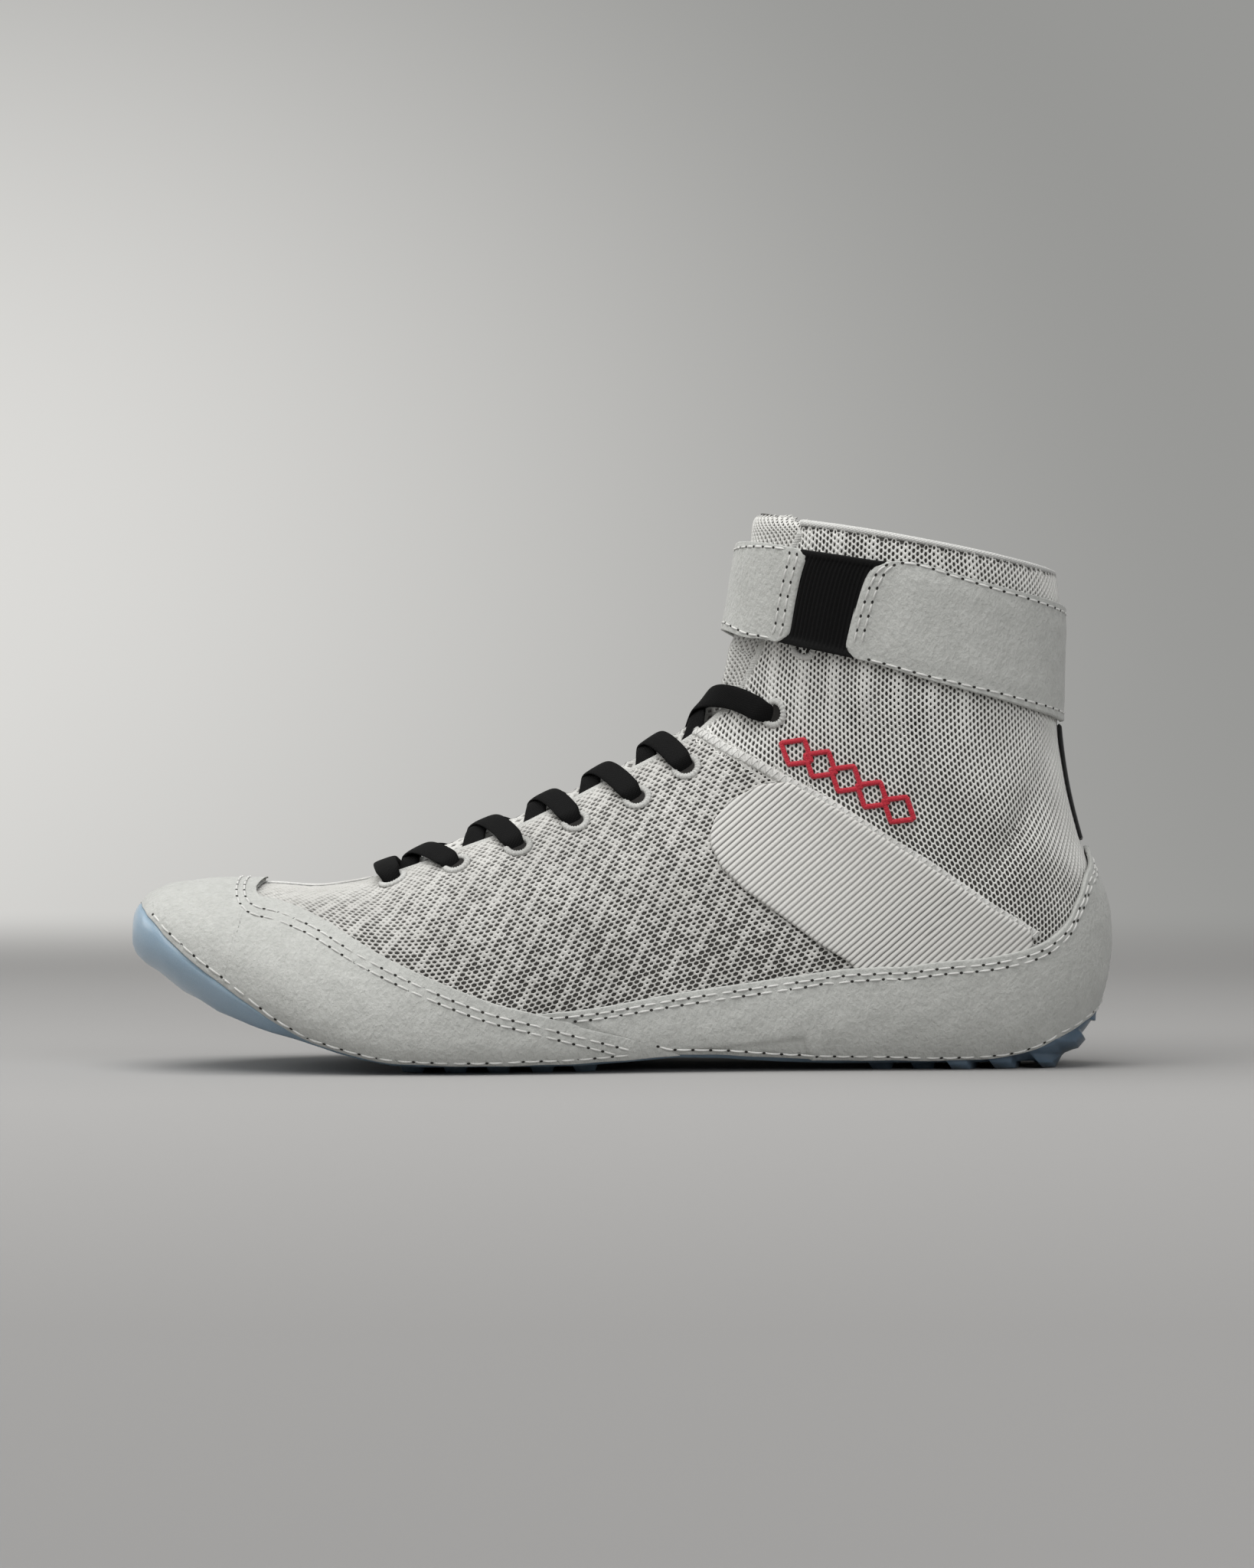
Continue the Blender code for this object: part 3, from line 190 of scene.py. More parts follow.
class Last:
    """The shoe's outside surface, as a smooth fan of sections."""

    def __init__(self) -> None:
        """Tabulates the sections in metres with a ghost row at each end."""
        rows = SECTIONS.copy()
        rows[:, [0, 2]] = share_to_x(rows[:, [0, 2]])
        rows[:, [1, 3]] = share_to_z(rows[:, [1, 3]])
        rows[:, 4:6] *= BALL_WIDTH
        before = 2 * rows[0] - rows[1]
        before[[0, 2]] = rows[1, [0, 2]]
        self.table = np.vstack([before, rows, 2 * rows[-1] - rows[-2]])
        grid = np.meshgrid(np.linspace(0, LAST_ROW, 521), np.linspace(0, np.pi, 241))
        self.places = np.stack([grid[0].ravel(), grid[1].ravel()], -1)
        self.seen = self.bare(*grid)[..., [0, 2]].reshape(-1, 2)

    def section(self, row: Array) -> Array:
        """Catmull-Rom values of the table's columns at any row."""
        row = np.clip(np.asarray(row, float), 0.0, LAST_ROW)
        start = np.minimum(row.astype(int), LAST_ROW - 1)
        part = (row - start)[..., None]
        near = (self.table[start + step] for step in range(4))
        return np.moveaxis(catmull_rom(*near, part), -1, 0)

    def bare(self, row: Array, turn: Array) -> Array:
        """Outside surface without the flat sole."""
        row, turn = np.broadcast_arrays(np.asarray(row, float), np.asarray(turn, float))
        top_x, top_z, low_x, low_z, half, centre, widest, top, bottom = self.section(row)
        turn = (turn + np.pi) % TAU - np.pi
        cosine, sine = np.cos(turn), np.abs(np.sin(turn))
        power = 2 / np.where(cosine >= 0, top, bottom)
        reach = np.abs(cosine) ** power
        down = np.where(cosine >= 0, widest * (1 - reach), widest + (1 - widest) * reach)
        y = centre + np.sign(turn) * half * sine ** power
        return np.stack([top_x + down * (low_x - top_x), y, top_z + down * (low_z - top_z)], -1)

    def outward(self, row: Array, turn: Array) -> Array:
        """Unit normal of the bare surface, by central differences."""
        row, turn = np.broadcast_arrays(np.asarray(row, float), np.asarray(turn, float))
        row = np.clip(row, 0.15, LAST_ROW - 0.03)
        along = self.bare(row + 0.03, turn) - self.bare(row - 0.03, turn)
        around = self.bare(row, turn + 0.01) - self.bare(row, turn - 0.01)
        normal = np.cross(along, around)
        top_x, top_z, low_x, low_z, _, centre, widest, _, _ = self.section(row)
        middle = np.stack([top_x + widest * (low_x - top_x), centre,
                           top_z + widest * (low_z - top_z)], -1)
        side = np.sum(normal * (self.bare(row, turn) - middle), -1, keepdims=True)
        normal = normal * np.where(side < 0, -1.0, 1.0)
        return normal / np.linalg.norm(normal, axis=-1, keepdims=True)

    def floor(self, x: Array) -> Array:
        """Base plane of the sole under x, with its toe spring and arch."""
        return np.interp(x, share_to_x(FLOOR[:, 0]), share_to_z(FLOOR[:, 1]))

    def skin(self, row: Array, turn: Array, depth: Array = 0.0, lift: float = 0.0) -> Array:
        """Surface at a depth under the outside, flattened at the sole.

        Args:
            row: section rows.
            turn: turns round the section.
            depth: depth under the outside, metres.
            lift: height above the sole's base plane where it is flattened.
        """
        depth = np.broadcast_to(np.asarray(depth, float), np.broadcast(row, turn).shape)
        point = self.bare(row, turn) - self.outward(row, turn) * depth[..., None]
        point[..., 2] = np.maximum(point[..., 2], self.floor(point[..., 0]) + lift)
        return point

    def at(self, points: Array) -> Array:
        """(row, turn) of the surface points seen at side-view points in shares."""
        points = np.atleast_2d(np.asarray(points, float))
        goals = np.stack([share_to_x(points[:, 0]), share_to_z(points[:, 1])], -1)
        window = np.linspace(-1, 1, 21)
        found = []
        for goal in goals:
            place = self.places[np.argmin(np.sum((self.seen - goal) ** 2, 1))]
            reach = np.array([0.06, 0.02])
            for _ in range(3):
                near = np.meshgrid(np.clip(place[0] + window * reach[0], 0, LAST_ROW),
                                   np.clip(place[1] + window * reach[1], 0, np.pi))
                miss = np.sum((self.bare(*near)[..., [0, 2]] - goal) ** 2, -1)
                pick = np.argmin(miss)
                place = np.array([near[0].ravel()[pick], near[1].ravel()[pick]])
                reach = reach / 8
            found.append(place)
        return np.array(found)

    def back_row(self, share: float) -> float:
        """Row whose back point lies at a height share."""
        rows = np.linspace(15, LAST_ROW, 1101)
        return float(np.interp(share_to_z(share), self.section(rows)[3], rows))

    def crest_row(self, share: float) -> float:
        """Row whose front point lies at a height share on the shaft."""
        rows = np.linspace(12, LAST_ROW, 1401)
        return float(np.interp(share_to_z(share), self.section(rows)[1], rows))

    def crest_row_x(self, share: float) -> float:
        """Row whose instep point lies at a length share."""
        rows = np.linspace(0, 12, 1201)
        return float(np.interp(share_to_x(share), self.section(rows)[0], rows))

    def resample(self, places: Array, count: int) -> Array:
        """Places spread evenly by distance along a line of places."""
        points = self.bare(places[:, 0], places[:, 1])
        run = running(points)
        at = np.linspace(0, run[-1], count)
        return np.stack([np.interp(at, run, places[:, 0]), np.interp(at, run, places[:, 1])], -1)


LAST = Last()


def skin_of(places: Array, depth: Array = 0.0, lift: float = 0.0) -> Array:
    """Points of the last's skin at places (row, turn)."""
    return LAST.skin(places[..., 0], places[..., 1], depth, lift)


def outward_of(places: Array) -> Array:
    """Unit normals at places (row, turn)."""
    return LAST.outward(places[..., 0], places[..., 1])


def line_of(rows: Array, turns: Array) -> Array:
    """Places from rows and turns, or from a number for all of either."""
    return np.stack(np.broadcast_arrays(rows, turns), -1)


def running(points: Array) -> Array:
    """Length run along each line of points, from 0, over the last axis but one."""
    step = np.linalg.norm(np.diff(points, axis=-2), axis=-1)
    return np.concatenate([np.zeros(step.shape[:-1] + (1,)), np.cumsum(step, -1)], -1)


# ---------------------------------------------------------------- mesh tools
def between(first: Array, second: Array, shares: Array) -> Array:
    """Grid of places from one line of places to another."""
    shares = np.asarray(shares, float)[None, :, None]
    return first[:, None, :] * (1 - shares) + second[:, None, :] * shares


def mirrored(places: Array) -> Array:
    """The same places on the other side of the shoe."""
    return places * np.array([1.0, -1.0])


def quads_of(rows: int, columns: int, closed: bool = False) -> Array:
    """Quad indices of a grid, with its columns closed in a ring if asked."""
    index = np.arange(rows * columns).reshape(rows, columns)
    if closed:
        index = np.hstack([index, index[:, :1]])
    return np.stack([index[:-1, :-1], index[:-1, 1:], index[1:, 1:], index[1:, :-1]], -1).reshape(-1, 4)


def edge_spaced(count: int, near: float = 0.02) -> Array:
    """Shares from 0 to 1 with extra ones close to both ends."""
    middle = np.linspace(0, 1, count)[1:-1]
    ends = near * np.array([0.0, 0.12, 0.3, 0.6])
    return np.unique(np.concatenate([ends, middle, 1 - ends]))


def frames(points: Array) -> tuple[Array, Array]:
    """Unit tangents and running length along a line of points."""
    step = np.gradient(points, axis=0)
    return step / np.linalg.norm(step, axis=1, keepdims=True), running(points)


def placed(name: str, data: bpy.types.ID) -> bpy.types.Object:
    """New object with its data, linked to the scene."""
    obj = bpy.data.objects.new(name, data)
    bpy.context.scene.collection.objects.link(obj)
    return obj


class Mesh:
    """Vertices and faces gathered from whole arrays, built into one object."""

    def __init__(self) -> None:
        """Starts empty."""
        self.verts: list[Array] = []
        self.faces: list[Array] = []
        self.uvs: list[Array] = []
        self.count = 0

    def add(self, verts: Array, faces: Array, uv: Array | None = None) -> None:
        """Adds vertices, their quads or triangles, and their pattern coordinates in metres."""
        verts = np.asarray(verts, float).reshape(-1, 3)
        self.verts.append(verts)
        self.faces.append(np.asarray(faces) + self.count)
        self.uvs.append(np.zeros((len(verts), 2)) if uv is None else np.asarray(uv).reshape(-1, 2))
        self.count += len(verts)

    def build(self, name: str, material: bpy.types.Material, slot: str,
              replaces: tuple[str, ...] = (), shade: bool = True) -> bpy.types.Object:
        """Makes the object, rides it on the shoe and hides the CAD nodes it stands for.

        Args:
            name: object name.
            material: its finish.
            slot: material slot of the record; not used.
            replaces: CAD nodes it stands for.
            shade: smooth shading.

        Returns:
            The new object.
        """
        verts, uvs = np.vstack(self.verts), np.vstack(self.uvs)
        loops = np.concatenate([f.reshape(-1) for f in self.faces]).astype(np.int32)
        sizes = np.concatenate([np.full(len(f), f.shape[1]) for f in self.faces]).astype(np.int32)
        mesh = bpy.data.meshes.new(name)
        mesh.vertices.add(len(verts))
        mesh.vertices.foreach_set("co", verts.astype(np.float32).reshape(-1))
        mesh.loops.add(len(loops))
        mesh.loops.foreach_set("vertex_index", loops)
        mesh.polygons.add(len(sizes))
        starts = np.concatenate([[0], np.cumsum(sizes)[:-1]]).astype(np.int32)
        mesh.polygons.foreach_set("loop_start", starts)
        mesh.update(calc_edges=True)
        layer = mesh.uv_layers.new(name="pattern")
        layer.data.foreach_set("uv", uvs[loops].astype(np.float32).reshape(-1))
        mesh.polygons.foreach_set("use_smooth", np.full(len(sizes), shade))
        mesh.materials.append(material)
        mesh.validate()
        obj = placed(name, mesh)
        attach(obj, "root")
        if replaces:
            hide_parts(*replaces)
        LOG.info("%s: %d triangles", name, int(np.sum(sizes - 2)))
        return obj


def wall(mesh: Mesh, grids: list[Array], outer: list[Array], inner: list[Array],
         uvs: list[Array] | None = None) -> None:
    """Adds a closed wall between two skins over several grids that may share edges.

    Vertices that lie together are joined, collapsed triangles are dropped, and
    every edge that only one triangle has gets a strip from skin to skin.

    Args:
        mesh: where to add it.
        grids: places of each grid, (n, m, 2).
        outer: outer points of each grid, (n, m, 3).
        inner: inner points of each grid.
        uvs: pattern coordinates of each grid.
    """
    triangles, first = [], 0
    for places, points in zip(grids, outer):
        quads = quads_of(*places.shape[:2])
        flat = points.reshape(-1, 3)
        across = np.cross(flat[quads[:, 2]] - flat[quads[:, 0]], flat[quads[:, 3]] - flat[quads[:, 1]])
        centre = places.reshape(-1, 2)[quads].mean(1)
        facing = np.sum(across * outward_of(centre))
        quads = quads if facing > 0 else quads[:, ::-1]
        triangles.append(np.vstack([quads[:, [0, 1, 2]], quads[:, [0, 2, 3]]]) + first)
        first += places.shape[0] * places.shape[1]
    outside = np.vstack([p.reshape(-1, 3) for p in outer])
    inside = np.vstack([p.reshape(-1, 3) for p in inner])
    uv = np.zeros((first, 2)) if uvs is None else np.vstack([u.reshape(-1, 2) for u in uvs])
    _, pick, joined = np.unique(np.round(outside, 6) + 0.0, axis=0, return_index=True, return_inverse=True)
    tris = joined.reshape(-1)[np.vstack(triangles)]
    whole = (tris[:, 0] != tris[:, 1]) & (tris[:, 1] != tris[:, 2]) & (tris[:, 2] != tris[:, 0])
    tris = tris[whole]
    edges = np.vstack([tris[:, [0, 1]], tris[:, [1, 2]], tris[:, [2, 0]]])
    _, which, number = np.unique(np.sort(edges, 1), axis=0, return_inverse=True, return_counts=True)
    border = edges[number[which.reshape(-1)] == 1]
    total = len(pick)
    strip = np.stack([border[:, 1], border[:, 0], border[:, 0] + total, border[:, 1] + total], -1)
    mesh.add(np.vstack([outside[pick], inside[pick]]), np.vstack([tris, tris[:, ::-1] + total]),
             np.vstack([uv[pick], uv[pick]]))
    mesh.faces.append(strip + mesh.count - 2 * total)


def rim_distance(points: Array, sides: str) -> Array:
    """Distance of each grid point from the grid's sides that are real edges.

    Args:
        points: grid of points (n, m, 3).
        sides: letters of those sides: a first row, z last row, t first column, l last column.

    Returns:
        Distances in metres, (n, m).
    """
    down, right = running(np.swapaxes(points, 0, 1)).T, running(points)
    options = {"a": down, "z": down[-1:] - down, "t": right, "l": right[:, -1:] - right}
    return np.min([options[side] for side in sides], axis=0) if sides else np.full(down.shape, 1.0)


def rounding(distance: Array, radius: float) -> Array:
    """Depth lost to a round edge at a distance from it."""
    rest = 1 - np.clip(distance / radius, 0, 1)
    return radius * (1 - np.sqrt(np.clip(1 - rest ** 2, 0, 1)))


def walled(grid: Array, outer: Array, inner: Array, uv: Array | None = None) -> Mesh:
    """New mesh with a closed wall between two skins of one grid."""
    mesh = Mesh()
    wall(mesh, [grid], [outer], [inner], None if uv is None else [uv])
    return mesh


def tube(mesh: Mesh, points: Array, normals: Array, half_width: Array, half_height: Array,
         sides: int = 12, power: float = 2.0, closed: bool = False) -> None:
    """Adds a band swept along points: ring = side * w cos + normal * h sin, squared by power.

    Args:
        mesh: where to add it.
        points: centreline (n, 3).
        normals: outward directions (n, 3).
        half_width: half the width at each point.
        half_height: half the thickness at each point.
        sides: points round the band.
        power: squareness of the section, 2 for an ellipse.
        closed: whether the ends join.
    """
    tangent, run = frames(points)
    across = np.cross(tangent, normals)
    across /= np.linalg.norm(across, axis=1, keepdims=True)
    up = np.cross(across, tangent)
    angle = np.linspace(0, TAU, sides, endpoint=False)
    cosine = np.sign(np.cos(angle)) * np.abs(np.cos(angle)) ** (2 / power)
    sine = np.sign(np.sin(angle)) * np.abs(np.sin(angle)) ** (2 / power)
    half_width = np.broadcast_to(half_width, len(points))[:, None]
    half_height = np.broadcast_to(half_height, len(points))[:, None]
    offset_w, offset_h = half_width * cosine[None], half_height * sine[None]
    rings = points[:, None] + across[:, None] * offset_w[..., None] + up[:, None] * offset_h[..., None]
    uv = np.stack(np.broadcast_arrays(run[:, None], offset_w), -1)
    count = len(points)
    mesh.add(rings, quads_of(count, sides, closed=True), uv)
    base = mesh.count - count * sides
    if closed:
        last = np.arange(sides) + (count - 1) * sides
        first = np.arange(sides)
        mesh.faces.append(np.stack([last, np.roll(last, -1), np.roll(first, -1), first], -1) + base)
    else:
        mesh.faces.append(np.arange(sides)[::-1][None] + base)
        mesh.faces.append((np.arange(sides) + (count - 1) * sides)[None] + base)


def thread_row(mesh: Mesh, holes: Mesh, places: Array, depth: Array, pitch: float,
               length: float, radius: float = 0.00032) -> None:
    """Adds a row of lock stitches along a line of places: bent threads, and dark discs of painted shade at
    their needle holes.

    Each thread rises in the middle and dives at both ends.

    Args:
        mesh: threads are added here.
        holes: the needle holes' dark discs, painted shade, are added here.
        places: line of (row, turn).
        depth: depth of the leather's face along it.
        pitch: distance from stitch to stitch.
        length: visible length of a stitch.
        radius: thread radius.
    """
    steps, sides, samples = 7, 6, 600
    fine = LAST.resample(places, samples)
    depth = np.interp(np.linspace(0, 1, samples), np.linspace(0, 1, np.size(depth)), np.ravel(depth))
    points, normals = skin_of(fine, depth), outward_of(fine)
    tangents, run = frames(points)
    starts = np.arange(pitch / 2, run[-1] - pitch, pitch)
    if not len(starts):
        return
    share = np.linspace(0, 1, steps)
    at = starts[:, None] + share[None] * length

    def along(values: Array) -> Array:
        """Values of the line at the stitches' places."""
        return np.stack([np.interp(at, run, values[:, k]) for k in range(3)], -1)

    centre, normal, tangent = along(points), along(normals), along(tangents)
    normal /= np.linalg.norm(normal, axis=-1, keepdims=True)
    side = np.cross(normal, tangent)
    rise = radius * (1.25 * np.sin(np.pi * share) ** 0.6 - 0.75)
    swell = radius * (0.62 + 0.38 * np.sin(np.pi * share) ** 0.5)
    angle = np.linspace(0, TAU, sides, endpoint=False)
    ring = (np.cos(angle)[None, None, :, None] * side[:, :, None]
            + np.sin(angle)[None, None, :, None] * normal[:, :, None]) * swell[None, :, None, None]
    body = (centre + normal * rise[None, :, None])[:, :, None] + ring
    uv = line_of((share * length)[:, None], angle * radius)
    first = steps * sides * np.arange(len(starts))[:, None, None]
    faces = (quads_of(steps, sides, closed=True)[None] + first).reshape(-1, 4)
    mesh.add(body, faces, np.broadcast_to(uv, body.shape[:3] + (2,)))
    # Each needle hole is a flat dark disc just above the face: painted shade where the hole is.
    up, right, front = normal[:, 0], side[:, 0], tangent[:, 0]
    dots = centre[:, 0] - front * (pitch - length) / 2
    disc = dots[:, None] + radius * (1.3 * np.cos(angle)[None, :, None] * right[:, None]
                                     + 1.7 * np.sin(angle)[None, :, None] * front[:, None])
    disc = disc + 0.00004 * up[:, None]
    holes.add(disc, np.arange(len(dots) * sides).reshape(-1, sides))


# ---------------------------------------------------------------- finishes
def linear(colour: str) -> tuple[float, float, float, float]:
    """Linear RGBA of an sRGB hex colour."""
    value = np.array([int(colour[k:k + 2], 16) for k in (1, 3, 5)]) / 255
    value = np.where(value <= 0.04045, value / 12.92, ((value + 0.055) / 1.055) ** 2.4)
    return (*value.tolist(), 1.0)


@dataclass(frozen=True)
class Finish:
    """Look of one material.

    Attributes:
        name: material and process.
        dark: colour of its hollows, sRGB hex: its own darker tone, with painted shade where the grain or the
            weave sinks the bump.
        light: colour of its crests.
        roughness: surface roughness.
        grain_mm: size of its fine grain.
        relief_mm: height of the bump.
        patch_mm: size of its slow colour changes.
        stretch: how much longer the grain is along z than along x.
        sheen: fibre sheen weight.
        coat: clear gloss weight.
        subsurface: light passing under the surface.
        specular: strength of its mirror-like part.
    """

    name: str
    dark: str
    light: str
    roughness: float
    grain_mm: float
    relief_mm: float
    patch_mm: float = 14.0
    stretch: float = 1.0
    sheen: float = 0.0
    coat: float = 0.0
    subsurface: float = 0.0
    specular: float = 0.35


class Weave(Enum):
    """Thread pattern drawn on a piece's own coordinates, or grooves painted dark as painted shade."""

    NONE = 0
    TWILL = 1
    RIB = 2
    PAINTED_GROOVE_SHADE = 3


class Painter:
    """Builds procedural materials node by node."""

    def __init__(self, name: str) -> None:
        """Starts a material with its Principled shader."""
        self.material = bpy.data.materials.new(name)
        self.material.use_nodes = True
        self.tree = self.material.node_tree
        self.shader = self.tree.nodes["Principled BSDF"]

    def node(self, kind: str, inputs: dict | None = None, **settings: object) -> bpy.types.Node:
        """Adds a node with its settings, values and links.

        Args:
            kind: Blender node type.
            inputs: socket name or number to a value or to an output socket.
            settings: node properties.

        Returns:
            The node.
        """
        made = self.tree.nodes.new(kind)
        for key, value in settings.items():
            setattr(made, key, value)
        for key, value in (inputs or {}).items():
            if isinstance(value, bpy.types.NodeSocket):
                self.tree.links.new(value, made.inputs[key])
            else:
                made.inputs[key].default_value = value
        return made

    def own(self) -> bpy.types.NodeSocket:
        """A piece's own coordinates, in metres along its threads."""
        return self.node("ShaderNodeUVMap", uv_map="pattern").outputs[0]

    def mix(self, share: object, first: object, second: object) -> bpy.types.NodeSocket:
        """Blend of two colours or colour sockets."""
        return self.node("ShaderNodeMix", {0: share, 6: first, 7: second}, data_type="RGBA").outputs[2]

    def ramp(self, value: bpy.types.NodeSocket, first: tuple[float, str], last: tuple[float, str],
             interpolation: str = "LINEAR") -> bpy.types.NodeSocket:
        """Colours over a value, between two places with their sRGB hex colours."""
        made = self.node("ShaderNodeValToRGB", {"Fac": value})
        made.color_ramp.interpolation = interpolation
        for element, (place, colour) in zip(made.color_ramp.elements, (first, last)):
            element.position, element.color = place, linear(colour)
        return made.outputs["Color"]

    def link(self, socket: bpy.types.NodeSocket, key: str) -> None:
        """Links a socket to the shader."""
        self.tree.links.new(socket, self.shader.inputs[key])


def paint(finish: Finish, weave: Weave = Weave.NONE, pitch_mm: float = 1.0,
          painted_heel_shade: str | None = None) -> bpy.types.Material:
    """Procedural material: two-tone colour by fine grain and slow patches, and a bump.

    Args:
        finish: its look.
        weave: thread pattern on the piece's own coordinates.
        pitch_mm: distance between threads.
        painted_heel_shade: colour towards the heel end, for the sole: painted shade.

    Returns:
        The material.
    """
    made = Painter(finish.name)
    coordinate = made.node("ShaderNodeTexCoord").outputs["Object"]
    stretched = made.node("ShaderNodeMapping", {"Vector": coordinate, "Scale": (1, 1, 1 / finish.stretch)})
    grain = made.node("ShaderNodeTexNoise", {
        "Vector": stretched.outputs[0], "Scale": 1000 / finish.grain_mm, "Detail": 4.0, "Roughness": 0.6})
    patch = made.node("ShaderNodeTexNoise", {
        "Vector": coordinate, "Scale": 1000 / finish.patch_mm, "Detail": 3.0, "Roughness": 0.55})
    blend = made.node("ShaderNodeMath", {
        0: grain.outputs["Fac"], 1: 0.55, 2: 0.0}, operation="MULTIPLY_ADD")
    total = made.node("ShaderNodeMath", {
        0: patch.outputs["Fac"], 1: 0.45, 2: blend.outputs[0]}, operation="MULTIPLY_ADD")
    # The grain that darkens the colour also raises the bump: its own tone, and painted shade in its hollows.
    colour = made.ramp(total.outputs[0], (0.33, finish.dark), (0.67, finish.light))
    height = grain.outputs["Fac"]
    if weave is Weave.PAINTED_GROOVE_SHADE:
        # Grooves: the second pattern coordinate blends from the dark colour in the grooves, which is painted
        # shade, to the light colour on the crests.
        crest = made.node("ShaderNodeSeparateXYZ", {0: made.own()}).outputs[1]
        colour = made.mix(crest, linear(finish.dark), linear(finish.light))
    elif weave is not Weave.NONE:
        turn = 0.6 if weave is Weave.TWILL else 0.0
        turned = made.node("ShaderNodeMapping", {"Vector": made.own(), "Rotation": (0, 0, turn)})
        wave = made.node("ShaderNodeTexWave", {
            "Vector": turned.outputs[0], "Scale": 314.16 / pitch_mm, "Distortion": 0.6,
            "Detail": 1.0, "Detail Scale": 2.0}, bands_direction="X")
        cross = made.node("ShaderNodeTexWave", {
            "Vector": turned.outputs[0], "Scale": 408 / pitch_mm, "Distortion": 0.8},
            bands_direction="Y")
        both = made.node("ShaderNodeMath", {0: wave.outputs["Fac"], 1: cross.outputs["Fac"]},
                         operation="MULTIPLY")
        height = made.node("ShaderNodeMath", {0: both.outputs[0], 1: 1.6, 2: grain.outputs["Fac"]},
                           operation="MULTIPLY_ADD").outputs[0]
        # Gaps between the threads take the dark colour: painted shade in the weave's hollows.
        colour = made.mix(both.outputs[0], linear(finish.dark), colour)
    # Painted shade: the colour darkens towards the heel end. It stands in for the shade under the heel and
    # the dark inside seen through the rubber.
    if painted_heel_shade:
        x = made.node("ShaderNodeSeparateXYZ", {0: coordinate}).outputs[0]
        share = made.node("ShaderNodeMapRange", {0: x, 1: -0.07, 2: 0.11})
        colour = made.mix(share.outputs[0], colour, linear(painted_heel_shade))
    bump = made.node("ShaderNodeBump", {
        "Height": height, "Strength": 1.0, "Distance": finish.relief_mm / 1000})
    made.link(colour, "Base Color")
    made.link(bump.outputs[0], "Normal")
    constants = {"Roughness": finish.roughness, "Sheen Weight": finish.sheen, "Sheen Roughness": 0.5,
                 "Coat Weight": finish.coat, "Specular IOR Level": finish.specular}
    if finish.subsurface:
        constants |= {"Subsurface Weight": finish.subsurface, "Subsurface Radius": (0.6, 0.8, 1.0),
                      "Subsurface Scale": 0.004}
    for key, value in constants.items():
        made.shader.inputs[key].default_value = value
    return made.material


# ---------------------------------------------------------------- shared lines
def finer(places: Array, per: int) -> Array:
    """Catmull-Rom points through a line of places, several for each step."""
    ends = np.vstack([2 * places[0] - places[1], places, 2 * places[-1] - places[-2]])
    share = np.arange(per)[None, :, None] / per
    curve = catmull_rom(*(ends[k:k + len(places) - 1, None] for k in range(4)), share)
    return np.vstack([curve.reshape(-1, places.shape[1]), places[-1:]])


def height_on(line: Array, x: Array) -> Array:
    """Height share of a side-view line at length shares."""
    return np.interp(x, line[:, 0], line[:, 1])


def as_line(places: Array) -> object:
    """Function from row to turn along a line of places."""
    order = np.argsort(places[:, 0])
    return lambda row: np.interp(row, places[order, 0], places[order, 1])


def hem_places(gap: float) -> Array:
    """Places of the line between guards and sole, shifted up by a gap in metres."""
    low = LAST.at(HEM + [0.0, gap / SHAFT_RISE])
    start = [LAST.crest_row_x(HEM_CREST_X + 1.5 * gap / SHOE_LENGTH), 0.0]
    return np.vstack([start, low, [LAST.back_row(HEM_BACK + gap / SHAFT_RISE), np.pi]])


def throat_places() -> Array:
    """Places of the throat's edge from its point over the toes to the collar."""
    return np.vstack([[LAST.crest_row_x(THROAT[0][0]) - 0.45, 0.0], LAST.at(THROAT)])


def feather_places() -> Array:
    """Places of the upper's lower edge, just above the sole plate."""
    edge = SOLE_PLATE + SEAT_GAP
    x = np.concatenate([np.linspace(0.0, 0.06, 9), np.linspace(0.08, 0.94, 60)])
    places = LAST.at(np.stack([x, (LAST.floor(share_to_x(x)) + edge - LUG_HEIGHT) / SHAFT_RISE], -1))
    back = LAST.back_row(edge / SHAFT_RISE)
    return np.vstack([places[places[:, 0] < back - 0.05], [back, np.pi]])


THROAT_PLACES = throat_places()
THROAT_EDGE = as_line(THROAT_PLACES)
FEATHER = as_line(feather_places())


def collar_row(turn: Array) -> Array:
    """Row of the collar's edge, lower in front than behind."""
    return COLLAR_FRONT_ROW + (COLLAR_BACK_ROW - COLLAR_FRONT_ROW) * np.clip(np.abs(turn) / np.pi, 0, 1)


def upper_wall(row: Array, turn: Array) -> Array:
    """Wall of the upper: fabric, padded round ankle and heel."""
    return FABRIC_WALL + 0.0022 * smooth((np.asarray(row) - 14) / 6) * smooth((np.abs(turn) - 1.2) / 0.6)


# Creases: (x, z) in shares, direction in degrees, half-length and half-width
# in metres, depth in metres (negative for a ridge)
CREASES = np.array([
    (0.905, 0.475, 62, 0.022, 0.0040, 0.0011), (0.875, 0.400, 40, 0.020, 0.0050, 0.0007),
    (0.800, 0.560, 75, 0.016, 0.0035, 0.0005), (0.715, 0.690, 80, 0.013, 0.0024, 0.0004),
    (0.745, 0.670, 80, 0.013, 0.0024, 0.0004), (0.775, 0.650, 80, 0.013, 0.0024, 0.0004),
    (0.690, 0.700, 80, 0.013, 0.0024, 0.0004), (0.300, 0.250, -35, 0.030, 0.0050, 0.0007),
    (0.400, 0.330, -30, 0.026, 0.0060, -0.0006), (0.180, 0.335, 20, 0.014, 0.0030, 0.0005),
    (0.255, 0.300, -60, 0.016, 0.0040, 0.0005), (0.610, 0.600, 20, 0.012, 0.0030, 0.0006),
])


